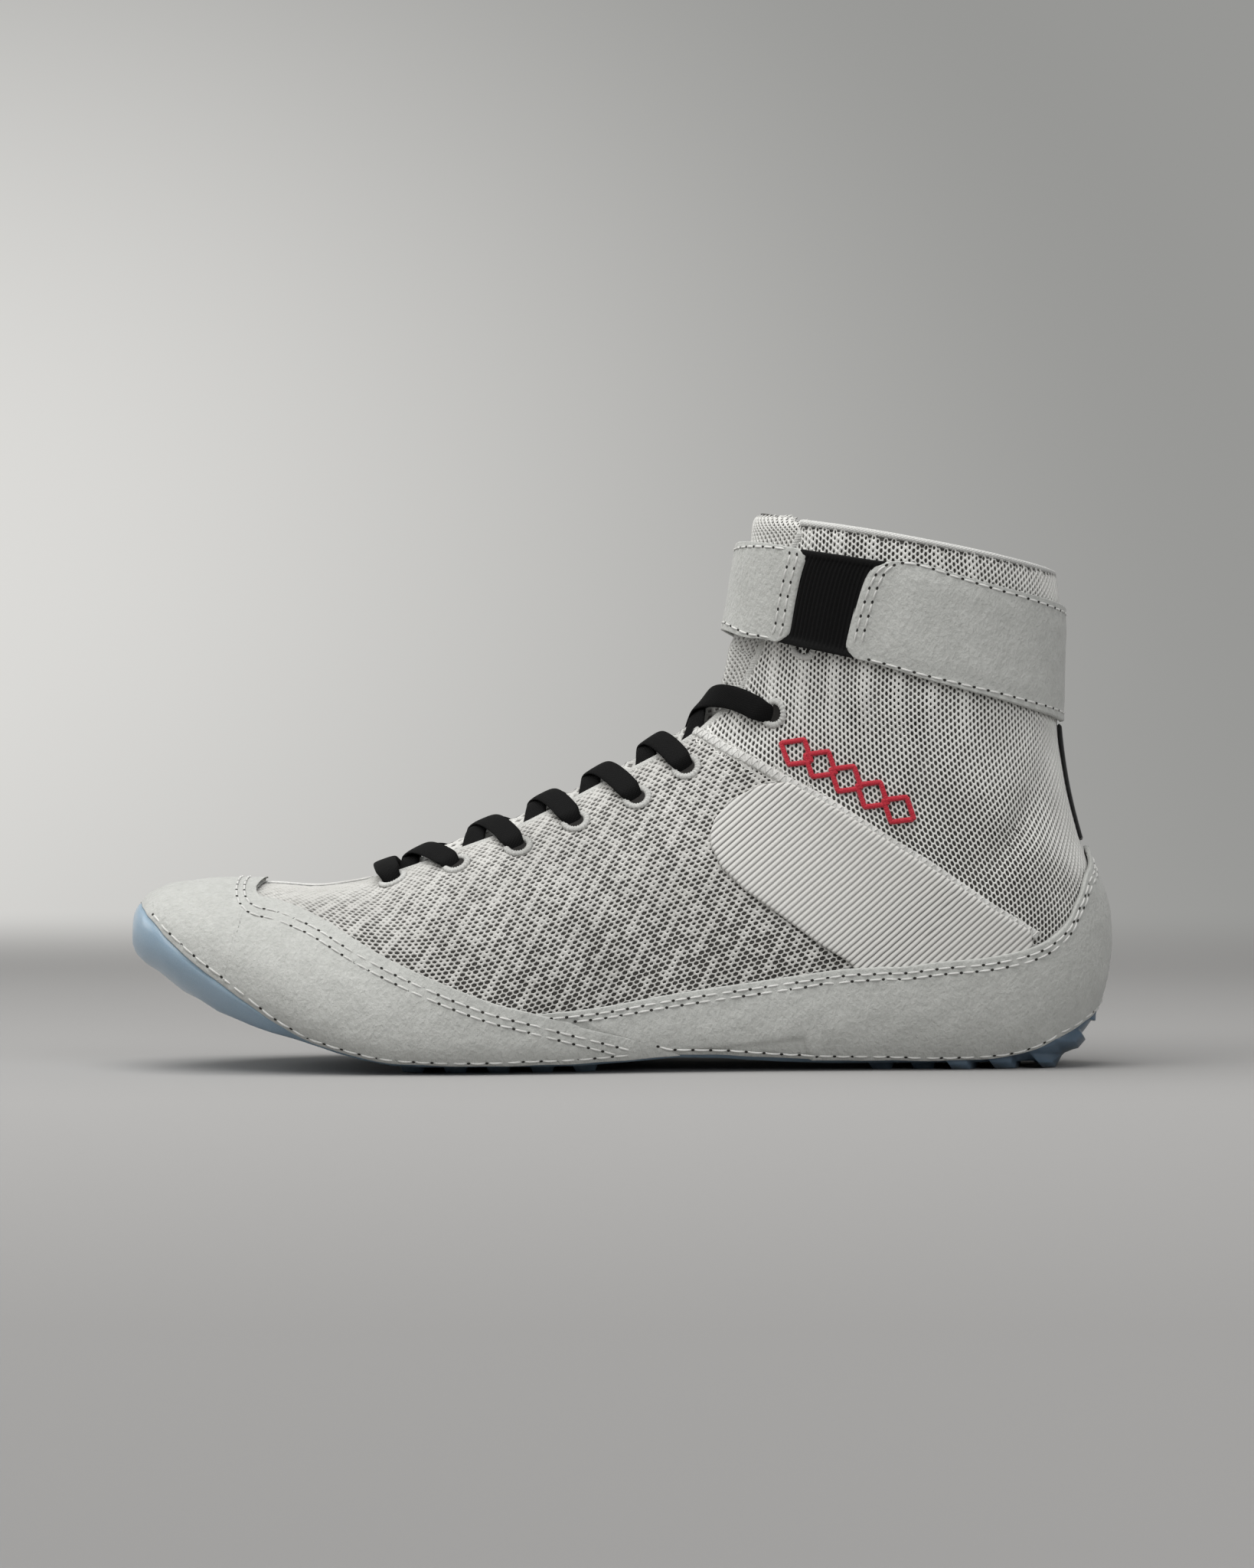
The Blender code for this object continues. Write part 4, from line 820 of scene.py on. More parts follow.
def creases(points: Array) -> Array:
    """Depth of the soft troughs and ridges at points: a sum of long round dips.

    Args:
        points: surface points (..., 3).

    Returns:
        Depth in metres, more inwards.
    """
    total = np.zeros(points.shape[:-1])
    for x, z, angle, length, width, depth in CREASES:
        right = points[..., 0] - share_to_x(x)
        up = points[..., 2] - share_to_z(z)
        cosine, sine = np.cos(np.radians(angle)), np.sin(np.radians(angle))
        along, across = right * cosine + up * sine, up * cosine - right * sine
        total += depth * np.exp(-(along / length) ** 2 - (across / width) ** 2)
    return total


def soft_skin(row: Array, turn: Array, depth: Array, lift: float = 0.0) -> Array:
    """Skin of the cloth upper, with its creases."""
    return LAST.skin(row, turn, depth + creases(LAST.bare(row, turn)), lift)


def soft_of(places: Array, depth: Array) -> Array:
    """Skin of the cloth upper at places (row, turn)."""
    return soft_skin(places[..., 0], places[..., 1], depth)


class Chart:
    """Flat map of one side: a level (x or z) and the length of the line round it."""

    def __init__(self, axis: int, low: float, high: float, rows: tuple[float, float], back: bool) -> None:
        """Tabulates rows and turns over level and length.

        Args:
            axis: 0 for levels of x, 2 for levels of z.
            low: first level.
            high: last level.
            rows: rows searched.
            back: measure the length from the back line instead of the instep line.
        """
        self.levels = np.linspace(low, high, 261)
        turns = np.linspace(0, np.pi, 241)
        span = np.linspace(*rows, 601)
        reach = LAST.bare(span[None], turns[:, None])[..., axis]
        found = np.stack([np.interp(self.levels, reach[k], span) for k in range(len(turns))], 1)
        turns = turns[::-1] if back else turns
        found = found[:, ::-1] if back else found
        points = LAST.bare(found, np.broadcast_to(turns, found.shape))
        run = running(points)
        self.arcs = np.linspace(0, run.max(), 481)
        self.table = np.stack([np.stack([np.interp(self.arcs, r, f, right=np.nan),
                                         np.interp(self.arcs, r, turns, right=np.nan)], -1)
                               for r, f in zip(run, found)])

    def place(self, level: Array, arc: Array) -> Array:
        """Places (row, turn) at levels and lengths, nan outside the map."""
        a = (level - self.levels[0]) / (self.levels[1] - self.levels[0])
        b = np.abs(arc) / self.arcs[1]
        inside = (a >= 0) & (a < len(self.levels) - 1) & (b < len(self.arcs) - 1)
        a, b = np.where(inside, a, 0), np.where(inside, b, 0)
        i, j = a.astype(int), b.astype(int)
        s, t = (a - i)[..., None], (b - j)[..., None]
        value = ((1 - s) * (1 - t) * self.table[i, j] + s * (1 - t) * self.table[i + 1, j]
                 + (1 - s) * t * self.table[i, j + 1] + s * t * self.table[i + 1, j + 1])
        return np.where(inside[..., None], value, np.nan)


@dataclass
class Net:
    """Open knit of rounded strands round staggered holes, as real relief.

    Attributes:
        chart: flat map it is knitted on.
        pitch: hole spacing along the level and along the length, metres.
        angle: turn of the pattern in the map, degrees.
        thickness: strand thickness.
        depth: depth of the strands' crests for places (row, turn).
        inside: which holes are in the piece, from side-view shares and places.
        opening: share of a cell that its hole takes, from map coordinates.
        swell: raised ridges of the knit, from map coordinates, metres.
    """

    chart: Chart
    pitch: tuple[float, float]
    angle: float
    thickness: float
    depth: object
    inside: object
    opening: object
    swell: object

    def knit(self, mesh: Mesh, sign: float, corners: int = 6) -> None:
        """Adds one side of the net.

        Each cell is a hexagon or a rhomb: its outline lies on the strands' crests, an inner ring
        round the hole lies lower, and a third ring closes the strand downwards.

        Args:
            mesh: where to add it.
            sign: -1 for the medial side, 1 for the lateral side.
            corners: points round each cell, 6 for a honeycomb or 4 for rhombs.
        """
        width, height = self.pitch
        turn = np.radians(self.angle)
        spin = np.array([[np.cos(turn), np.sin(turn)], [-np.sin(turn), np.cos(turn)]])
        low, high = self.chart.levels[[0, -1]]
        reach = self.chart.arcs[-1]
        number = int((high - low + reach) / min(width, height)) + 4
        i, j = np.meshgrid(np.arange(-number, number), np.arange(-number, number))
        steps = np.stack([(i + j) * width / 2, (i - j) * height / 2], -1).reshape(-1, 2)
        centres = steps @ spin + [(low + high) / 2, reach / 2]
        close = (centres[:, 0] > low) & (centres[:, 0] < high) & (centres[:, 1] > 0) & (centres[:, 1] < reach)
        centres = centres[close]
        places = self.chart.place(centres[:, 0], centres[:, 1])
        known = ~np.isnan(places[:, 0])
        centres, places = centres[known], places[known]
        points = LAST.bare(places[:, 0], places[:, 1])
        seen = np.stack([points[:, 0] / SHOE_LENGTH + 0.5, (points[:, 2] - LUG_HEIGHT) / SHAFT_RISE], -1)
        centres = centres[self.inside(seen, places)]
        rim = np.array([(0, 2), (-1, 1), (-1, -1), (0, -2), (1, -1), (1, 1)]) / [1, 3]
        round_off = np.array([0.92, 1.0, 1.0] * 2)
        if corners == 4:
            rim, round_off = np.array([(1, 0), (0, 1), (-1, 0), (0, -1)]), np.full(4, 0.92)
        rim = rim * [width / 2, height / 2] @ spin
        share = self.opening(centres)[:, None, None]
        outline = centres[:, None] + rim[None]
        hole = centres[:, None] + rim[None] * round_off[None, :, None] * share
        rings = np.stack([outline, hole, hole], 1)
        spot = self.chart.place(rings[..., 0], rings[..., 1])
        whole = ~np.isnan(spot).any(axis=(1, 2, 3))
        rings, spot = rings[whole], spot[whole]
        drop = np.array([0.0, 0.35, 1.0])[None, :, None] * self.thickness
        depth = self.depth(spot[..., 0], spot[..., 1]) + drop
        depth = depth - self.swell(rings) * np.array([1, 1, 0])[None, :, None]
        verts = soft_skin(spot[..., 0], sign * spot[..., 1], depth)
        key = np.round(rings[:, 0].reshape(-1, 2), 6)
        _, pick, joined = np.unique(key, axis=0, return_index=True, return_inverse=True)
        count = len(rings)
        crest = joined.reshape(count, corners)
        low_ring = len(pick) + np.arange(count * corners).reshape(count, corners)
        base = low_ring + count * corners
        faces = np.vstack([np.stack([a, np.roll(a, -1, 1), np.roll(b, -1, 1), b], -1).reshape(-1, 4)
                           for a, b in ((crest, low_ring), (low_ring, base))])
        first = faces[0]
        flat, uv = (np.vstack([part[:, 0].reshape(-1, size)[pick], part[:, 1].reshape(-1, size),
                               part[:, 2].reshape(-1, size)]) for part, size in ((verts, 3), (rings, 2)))
        across = np.cross(flat[first[1]] - flat[first[0]], flat[first[3]] - flat[first[0]])
        if np.dot(across, LAST.outward(spot[0, 0, 0, 0], sign * spot[0, 0, 0, 1])) < 0:
            faces = faces[:, ::-1]
        mesh.add(flat, faces, uv)


FORE_CHART = Chart(0, share_to_x(0.10), share_to_x(0.74), (2.0, 16.0), back=True)
ANKLE_CHART = Chart(2, share_to_z(0.20), share_to_z(1.0), (8.0, 26.0), back=True)


def above_seam(seen: Array) -> Array:
    """Whether side-view points lie behind and above the seam between the two nets."""
    forward = (seen[:, 1] < 0.622) & (seen[:, 0] < np.interp(seen[:, 1], SEAM[::-1, 1], SEAM[::-1, 0]))
    return ~forward & (seen[:, 0] > 0.55)


# ---------------------------------------------------------------- pieces
@dataclass
class Threads:
    """All sewing of one colour, with dark discs of painted shade at its needle holes."""

    thread: Mesh = field(default_factory=Mesh)
    holes: Mesh = field(default_factory=Mesh)

    def sew(self, places: Array, depth: Array, pitch: float = 0.0045, length: float = 0.0037) -> None:
        """Adds one row of stitches along places at a depth."""
        thread_row(self.thread, self.holes, places, depth, pitch, length)

    def build(self) -> None:
        """Makes the thread and hole objects."""
        thread = Finish("bonded nylon thread, light grey", "#B4B4B0", "#DEDEDB", 0.6, 0.25, 0.05, sheen=0.3)
        # The needle holes are dark discs: painted shade.
        hole = Finish("needle holes in suede", "#1C1B1A", "#34322F", 0.95, 0.5, 0.0)
        self.thread.build("sewing_thread", paint(thread), "suede")
        self.holes.build("needle_holes", paint(hole), "suede", shade=False)


@dataclass
class Upper:
    """Cloth upper: dark lining, open knit over it, bound throat, seam and collar piping."""

    net_pitch_front: tuple[float, float] = (0.0019, 0.0026)
    net_pitch_ankle: tuple[float, float] = (0.0019, 0.0024)
    net_thickness: float = 0.00055
    block: float = 0.0054

    def build(self) -> None:
        """Makes every piece of the upper."""
        self.lining()
        self.nets()
        self.binding()
        self.seams()
        self.piping()

    def lining(self) -> None:
        """Closed wall of the upper, inside the net."""
        rows = np.concatenate([np.linspace(0, 7.4, 30), np.linspace(7.55, COLLAR_FRONT_ROW, 84)])
        start = THROAT_PLACES[0, 0]
        top = np.where(rows > start, THROAT_EDGE(rows), 0.0)
        grid = between(line_of(rows, top), line_of(rows, FEATHER(rows)), np.linspace(0, 1, 24))
        grid[-1, :, 0] = collar_row(grid[-1, :, 1])
        mesh = Mesh()
        grids = [grid, mirrored(grid)]
        outer = [soft_of(g, UPPER_DEPTH + self.net_thickness * 0.9) for g in grids]
        inner = [skin_of(g, UPPER_DEPTH + 0.0004 + upper_wall(g[..., 0], g[..., 1])) for g in grids]
        wall(mesh, grids, outer, inner)
        finish = Finish("lining jersey, grey", "#33312F", "#4F4D4A", 0.95, 0.6, 0.08, sheen=0.2)
        mesh.build("upper_lining", paint(finish), "mesh_fabric", ("upper",))

    def nets(self) -> None:
        """Forefoot and ankle nets, one object for each side."""
        generator = np.random.default_rng(7)
        waves = generator.uniform(0, TAU, 6)

        def ridge(at: Array) -> Array:
            """Solid diagonal ridges of the forefoot knit, 0 to 1: a steep and a flat set of bands."""
            steep = at[..., 0] * 0.42 + at[..., 1] * 0.91
            block = at[..., 0] * 0.91 - at[..., 1] * 0.42
            first = np.cos(block / self.block * TAU + 0.35 * np.sin(steep / 0.009 * TAU))
            second = np.cos(steep / (self.block * 1.25) * TAU + np.round(block / self.block) * np.pi)
            return np.clip(1.5 * np.maximum(first - 0.60, 1.1 * (second - 0.72)), 0, 1)

        def front_inside(seen: Array, places: Array) -> Array:
            """Forefoot net: over the guards, below the throat, before the seam."""
            low = np.where(seen[:, 0] < 0.41, height_on(TOE_GUARD_TOP, seen[:, 0]),
                           height_on(HEEL_GUARD_TOP, seen[:, 0])) - 0.012
            throat = (places[:, 0] < THROAT_PLACES[0, 0]) | (places[:, 1] > THROAT_EDGE(places[:, 0]) + 0.01)
            front = np.interp(seen[:, 1], RIB_PANEL_FRONT[::-1, 1], RIB_PANEL_FRONT[::-1, 0])
            panel = (seen[:, 0] > front + 0.020) & (seen[:, 1] < 0.51) & (seen[:, 1] > 0.33)
            toe = (seen[:, 0] > 0.127) & ((seen[:, 1] > low) | (seen[:, 0] < 0.13))
            return toe & throat & ~above_seam(seen - [0.006, 0.006]) & ~panel & (seen[:, 0] < 0.735)

        def ankle_inside(seen: Array, places: Array) -> Array:
            """Ankle net: behind the seam, up to the collar, down to the heel guard."""
            throat = places[:, 1] > THROAT_EDGE(places[:, 0]) + 0.01
            low = seen[:, 1] > height_on(HEEL_GUARD_TOP, seen[:, 0]) - 0.012
            collar = places[:, 0] < collar_row(places[:, 1]) - 0.02
            return throat & low & collar & above_seam(seen + [0.008, 0.008])

        def pads(at: Array) -> Array:
            """Soft upright pads under the ankle net, near its front: rounded ribs 10 mm apart."""
            shade = np.cos(at[..., 1] / 0.0101 * TAU + 0.6)
            zone = smooth((at[..., 0] - share_to_z(0.56)) / 0.02) * smooth((at[..., 1] - 0.035) / 0.02)
            return 0.0003 * np.clip(shade, 0, 1) * zone

        def front_opening(at: Array) -> Array:
            """Hole share of the forefoot cells, closing on the ridges."""
            slow = 0.05 * np.sin(at[:, 0] / 0.019 * TAU + waves[0])
            slow = slow * np.sin(at[:, 1] / 0.023 * TAU + waves[1])
            jitter = generator.uniform(-0.05, 0.05, len(at))
            lower = 0.12 * smooth((0.10 - at[:, 1]) / 0.04)
            return np.clip((0.66 + slow + jitter + lower) * (1 - 0.85 * ridge(at)), 0.08, 0.80)

        def ankle_opening(at: Array) -> Array:
            """Hole share of the ankle cells, smaller over the pads."""
            jitter = generator.uniform(-0.03, 0.03, len(at))
            low = 0.08 * smooth((share_to_z(0.62) - at[:, 0]) / 0.05)
            return np.clip(0.66 + low + jitter - 0.18 * pads(at) / 0.0003, 0.2, 0.85)

        def depth(rows: Array, turns: Array) -> Array:
            """Depth of the nets' crests."""
            return UPPER_DEPTH - 0.00005 + 0 * rows

        front = Net(FORE_CHART, self.net_pitch_front, 8.0, self.net_thickness, depth, front_inside,
                    front_opening, lambda at: 0.00014 * ridge(at))
        ankle = Net(ANKLE_CHART, self.net_pitch_ankle, 0.0, self.net_thickness, depth, ankle_inside,
                    ankle_opening, pads)
        # One light grey yarn in two copies: the forefoot's is painted darker as painted shade, and the
        # ankle's is painted lighter as painted light.
        fore_yarn_painted_shade = paint(Finish("polyester spacer knit, light grey, darker as painted shade", "#A9A8A4", "#CBCAC6", 0.75, 0.22, 0.06,
                            sheen=0.15))
        high = paint(Finish("polyester ankle knit, light grey, lighter as painted light", "#C4C3BF", "#E6E6E2", 0.75, 0.22, 0.06,
                            sheen=0.25))
        for name, sign, corners in (("medial", -1, 6), ("lateral", 1, 4)):
            mesh = Mesh()
            front.knit(mesh, sign, corners)
            mesh.build(f"forefoot_net_{name}", fore_yarn_painted_shade, "mesh_fabric")
            mesh = Mesh()
            ankle.knit(mesh, sign, corners)
            mesh.build(f"ankle_net_{name}", high, "mesh_fabric")

    def binding(self) -> None:
        """Folded edge of the throat, from collar to collar round its point."""
        side = LAST.resample(finer(THROAT_PLACES, 12), 130)
        line = np.vstack([mirrored(side)[::-1], side[1:]])
        points = soft_skin(line[:, 0], line[:, 1] * 1.02, UPPER_DEPTH + 0.0008)
        normals = outward_of(line)
        mesh = Mesh()
        tube(mesh, points, normals, 0.0013, 0.0010, 12, 2.6)
        finish = Finish("folded knit binding, light grey", "#B5B5B1", "#DADAD6", 0.8, 0.3, 0.09, sheen=0.25)
        mesh.build("throat_binding", paint(finish, Weave.TWILL, 0.7), "binding_tape")

    def seams(self) -> None:
        """Raised zigzag seams between the two nets, and a flat one on the forefoot's crest."""
        places = LAST.resample(finer(LAST.at(SEAM), 8), 240)
        mesh = Mesh()
        for sign in (-1, 1):
            turns = sign * places[:, 1]
            points = soft_skin(places[:, 0], turns, UPPER_DEPTH - 0.0001)
            normals = LAST.outward(places[:, 0], turns)
            swell = 1 + 0.12 * np.sin(np.arange(240) * 1.9)
            tube(mesh, points, normals, 0.0014 * swell, 0.0006 * swell, 10, 2.4)
            tangent, run = frames(points)
            across = np.cross(normals, tangent)
            share = np.linspace(0, run[-1], int(run[-1] / 0.00033))
            along, side, up = (np.stack([np.interp(share, run, part[:, k]) for k in range(3)], -1)
                               for part in (points, across, normals))
            wave = 0.0012 * np.sin(share / 0.0024 * TAU)[:, None]
            tube(mesh, along + side * wave + up * 0.0006, up, 0.00022, 0.00022, 6)
        rows = np.linspace(LAST.crest_row_x(0.126), THROAT_PLACES[0, 0] + 0.1, 60)
        crest = soft_skin(rows, 0 * rows, UPPER_DEPTH - 0.0002)
        tube(mesh, crest, LAST.outward(rows, 0 * rows), 0.0013, 0.0005, 8, 2.4)
        finish = Finish("overlocked seam, light grey yarn", "#ABAAA6", "#E0E0DD", 0.8, 0.3, 0.12, sheen=0.3)
        mesh.build("net_seams", paint(finish), "mesh_fabric")

    def piping(self) -> None:
        """Twill piping on the collar's edge."""
        start = THROAT_EDGE(COLLAR_FRONT_ROW)
        turns = np.linspace(start, TAU - start, 260)
        signed = np.where(turns > np.pi, TAU - turns, turns)
        rows = collar_row(signed) + 0.20
        thick = upper_wall(rows, signed)
        points = LAST.skin(rows, turns, UPPER_DEPTH + 0.00005 + thick / 2)
        normals = LAST.outward(rows, turns)
        mesh = Mesh()
        tube(mesh, points, normals, 0.00105, thick / 2 + 0.00025, 16, 2.4)
        finish = Finish("twill piping, light grey", "#BDBDBA", "#E2E2DF", 0.7, 0.3, 0.07, sheen=0.2)
        mesh.build("collar_binding", paint(finish, Weave.TWILL, 0.8), "binding_tape", ("collar_piping",))


@dataclass
class Slab:
    """A cut piece of suede, tape or elastic lying on the last.

    Attributes:
        depth: depth of its face for places (row, turn).
        thickness: its wall.
        edge: radius of its worn edges.
    """

    depth: object
    thickness: float
    edge: float = 0.0005

    def faces(self, grid: Array, sides: str, crest_rows: int = 0,
              relief: object = None) -> tuple[Array, Array]:
        """Outer and inner points of a grid of places.

        Args:
            grid: places (n, m, 2).
            sides: sides that are real edges, as in rim_distance.
            crest_rows: first rows whose first column is not an edge.
            relief: extra height for points and places, metres.

        Returns:
            Outer and inner points.
        """
        rows, turns = grid[..., 0], grid[..., 1]
        depth = self.depth(rows, turns)
        points = LAST.skin(rows, turns, depth)
        distance = rim_distance(points, sides.replace("t", ""))
        if "t" in sides:
            top = rim_distance(points, "t")
            top[:crest_rows] += 1.0
            distance = np.minimum(distance, top)
        drop = rounding(distance, self.edge)
        if relief is not None:
            drop = drop - relief(points, grid)
        low = LAST.skin(rows, turns, depth + self.thickness)
        low[..., 2] = np.maximum(low[..., 2], points[..., 2] - 0.004)
        return LAST.skin(rows, turns, depth + drop), low

    def mesh(self, grids: list[Array], sides: str, crest_rows: int = 0, relief: object = None) -> Mesh:
        """Closed piece over grids of places, with the arguments of faces."""
        mesh = Mesh()
        pairs = [self.faces(grid, sides, crest_rows, relief) for grid in grids]
        wall(mesh, grids, [outer for outer, _ in pairs], [inner for _, inner in pairs])
        return mesh


def offset_line(grid: Array, depth: object, distance: float, first: int = 0) -> Array:
    """Line of places at a distance from the grid's first column, or its last if negative."""
    grid = grid[first:]
    grid = grid if distance > 0 else grid[:, ::-1]
    run = running(skin_of(grid, depth(grid[..., 0], grid[..., 1])))
    long = run[:, -1] > 1.6 * abs(distance)
    return np.array([[np.interp(abs(distance), r, g[:, 0]), np.interp(abs(distance), r, g[:, 1])]
                     for r, g in zip(run[long], grid[long])])


def inset(line: Array, distance: float) -> Array:
    """Side-view line in shares moved to its right-hand side by a distance in metres."""
    scale = np.array([SHOE_LENGTH, SHAFT_RISE])
    points = finer(line, 4) * scale
    tangent, _ = frames(points)
    for _ in range(4):
        tangent[1:-1] = (tangent[:-2] + 2 * tangent[1:-1] + tangent[2:]) / 4
    return (points + distance * np.stack([tangent[:, 1], -tangent[:, 0]], -1)) / scale


SUEDE = Finish("split suede, brushed", "#ACADA9", "#BDBEBA", 0.92, 1.20, 0.60, patch_mm=6.0, stretch=1.4,
               sheen=0.25)


@dataclass
class Guards:
    """Suede toe and heel guards with their sewing."""

    threads: Threads
    hem_gap: float = -0.0002
    tuck: float = 0.0022
    toe_rows: tuple[float, float] = (0.0034, 0.0056)
    heel_rows: tuple[float, float] = (0.0020, 0.0037)
    toe_hem_row: float = -0.0022
    heel_hem_row: float = -0.0024

    def build(self) -> None:
        """Makes both guards."""
        material = paint(SUEDE)
        self.toe(material)
        self.heel(material)

    def nap(self, points: Array, grid: Array) -> Array:
        """Slight waviness of the leather, metres."""
        x, z = points[..., 0], points[..., 2]
        return 0.00012 * np.sin(x / 0.017 * TAU + 2 * np.sin(z / 0.03 * TAU)) * np.sin(z / 0.021 * TAU + 1.0)

    def toe(self, material: bpy.types.Material) -> None:
        """Toe guard over the toe and along both sides to the arch."""
        hem = hem_places(self.hem_gap)
        hem_at = as_line(hem)
        crest_end = LAST.crest_row_x(TOE_GUARD_CREST_X)
        crest_rows = np.array([hem[0, 0], hem[0, 0] + 0.25, 2.3, 2.8, 3.4, 4.2, 5.0, crest_end])
        lag = crest_rows - 0.16 * np.maximum(crest_rows - 2.0, 0)
        front_low = line_of(lag, hem_at(lag))
        front_low[0, 1] = 0.0
        side_top = LAST.at(TOE_GUARD_TOP)
        turn_off = between(np.array([[crest_end, 0.0]]), side_top[:1], [0.2, 0.4, 0.6, 0.8])[0]
        end = LAST.at([TOE_GUARD_END])[0]
        low_rows = np.concatenate([lag[-1] + np.linspace(0.02, 0.12, 4),
                                   np.linspace(lag[-1] + 0.18, end[0], len(side_top))])
        top = np.vstack([line_of(crest_rows, 0 * crest_rows), turn_off, side_top])
        low = np.vstack([front_low, line_of(low_rows, hem_at(low_rows))])
        per = 7
        crest_count = per * (len(crest_rows) - 1) + 1
        top, low = finer(top, per), finer(low, per)
        top[:, 1] = np.maximum(top[:, 1], 0)
        top[:crest_count, 1] = 0
        low[:, 1] = np.where(low[:, 0] < hem[-1, 0], hem_at(low[:, 0]), low[:, 1])
        low[0, 1] = 0.0
        grid = between(top, low, edge_spaced(32, 0.03))
        slab = Slab(lambda rows, turns: 0 * rows, GUARD)
        mesh = slab.mesh([grid, mirrored(grid)], "tlz", crest_count, self.nap)
        mesh.build("toe_guard_suede", material, "suede", ("toe_guard",))
        edge = np.vstack([[TOE_GUARD_SEAM_START], TOE_GUARD_TOP])
        for sign in (1, -1):
            for distance in self.toe_rows:
                self.threads.sew(LAST.at(inset(edge, distance))[:-3] * [1, sign], 0.0)
            side = grid * [1, sign]
            self.threads.sew(offset_line(side, slab.depth, self.toe_hem_row, 18)[2:-6], 0.0, *LOOSE_STITCH)

    def heel(self, material: bpy.types.Material) -> None:
        """Heel guard round the back, from the arch to its tip on the back seam."""
        toe_edge = LAST.at([(x, z - self.tuck / SHAFT_RISE) for x, z in TOE_GUARD_TOP if x > 0.40])
        hem = hem_places(self.hem_gap)
        hem = hem[hem[:, 0] > LAST.at([TOE_GUARD_END])[0, 0] + 0.08]
        low = LAST.resample(np.vstack([toe_edge, hem]), 160)
        top = np.vstack([LAST.at(HEEL_GUARD_TOP), [LAST.back_row(HEEL_GUARD_TIP), np.pi]])
        top = LAST.resample(finer(top, 6), 160)
        grid = between(top, low, edge_spaced(30, 0.03))
        lap = LAST.at([TOE_GUARD_END])[0, 0] + 1.2

        def tucked(rows: Array, turns: Array) -> Array:
            """Face depth: under the toe guard's edge in front, then flush."""
            near = np.abs(turns) - np.interp(rows, toe_edge[:, 0], toe_edge[:, 1])
            return 0.0006 * smooth((near + 0.10) / 0.06) * (rows < lap)

        slab = Slab(tucked, GUARD)
        mesh = slab.mesh([grid, mirrored(grid)], "tla", 0, self.nap)
        mesh.build("heel_guard_suede", material, "suede", ("heel_guard",))
        for sign in (1, -1):
            side = grid * [1, sign]
            for distance in self.heel_rows:
                self.threads.sew(offset_line(side, slab.depth, distance, 3), 0.0)
            self.threads.sew(offset_line(side, slab.depth, self.heel_hem_row, 30), 0.0, *LOOSE_STITCH)


@dataclass
class RibPanels:
    """Ribbed knit panels above the heel guard, one on each side."""

    pitch: float = 0.00150
    angle: float = 41.0
    relief: float = 0.00042

    def build(self) -> None:
        """Makes both panels: rows of the grid run along the ribs, cut to the outline."""
        low = HEEL_GUARD_TOP[(HEEL_GUARD_TOP[:, 0] > 0.70) & (HEEL_GUARD_TOP[:, 0] < 0.91)]
        outline = np.vstack([RIB_PANEL_TOP[::-1], RIB_PANEL_FRONT, low - [0, 0.012]])
        scale = np.array([SHOE_LENGTH, SHAFT_RISE])
        turn = np.radians(self.angle)
        spin = np.array([[np.cos(turn), np.sin(turn)], [-np.sin(turn), np.cos(turn)]])
        turned = (outline * scale) @ spin.T
        closed = np.vstack([turned, turned[:1]])
        levels = np.linspace(turned[:, 1].min() + 1e-5, turned[:, 1].max() - 1e-5, 80)
        low_end, high_end = np.full(80, 1e9), np.full(80, -1e9)
        for a, b in zip(closed[:-1], closed[1:]):
            share = (levels - a[1]) / (b[1] - a[1] + 1e-12)
            cut = (share >= 0) & (share <= 1)
            x = a[0] + share * (b[0] - a[0])
            low_end = np.where(cut, np.minimum(low_end, x), low_end)
            high_end = np.where(cut, np.maximum(high_end, x), high_end)
        shares = np.linspace(0, 1, 9)
        along = low_end[:, None] + (high_end - low_end)[:, None] * shares
        flat = np.stack([along, np.broadcast_to(levels[:, None], along.shape)], -1) @ spin
        coarse = LAST.at((flat / scale).reshape(-1, 2)).reshape(80, 9, 2)
        count = int((levels[-1] - levels[0]) / self.pitch * 8)
        fine = np.linspace(levels[0], levels[-1], count)
        dense = np.stack([[np.interp(fine, levels, coarse[:, j, k]) for j in range(9)] for k in (0, 1)], -1)
        dense = np.swapaxes(dense, 0, 1)
        columns = edge_spaced(18, 0.03)
        grid = np.stack([np.stack([np.interp(columns, shares, dense[i, :, k]) for i in range(count)])
                         for k in (0, 1)], -1)
        wave = np.abs(np.sin(fine / self.pitch * np.pi)) ** 0.55
        finish = Finish("ribbed knit, light grey", "#4E4D4A", "#D2D1CD", 0.75, 0.30, 0.05, sheen=0.25)
        material = paint(finish, Weave.PAINTED_GROOVE_SHADE)
        for name, sign in (("medial", -1), ("lateral", 1)):
            places = grid * [1, sign]
            rows, turns = places[..., 0], places[..., 1]
            top = UPPER_DEPTH - 0.0014 + self.relief * (1 - wave)[:, None]
            points = LAST.skin(rows, turns, top)
            drop = rounding(rim_distance(points, "tlaz"), 0.0008)
            outer = LAST.skin(rows, turns, top + drop)
            inner = LAST.skin(rows, turns, UPPER_DEPTH - 0.0001 + 0 * rows)
            # The crest share goes into the pattern coordinates, where the material paints the grooves between
            # the ribs dark: painted shade.
            crest = np.clip(wave * 1.25 - 0.15, 0, 1)[:, None]
            mesh = walled(places, outer, inner, line_of(rows, crest))
            mesh.build(f"ribbed_panel_{name}", material, "rib_knit", (f"rib_panel_{name}",))


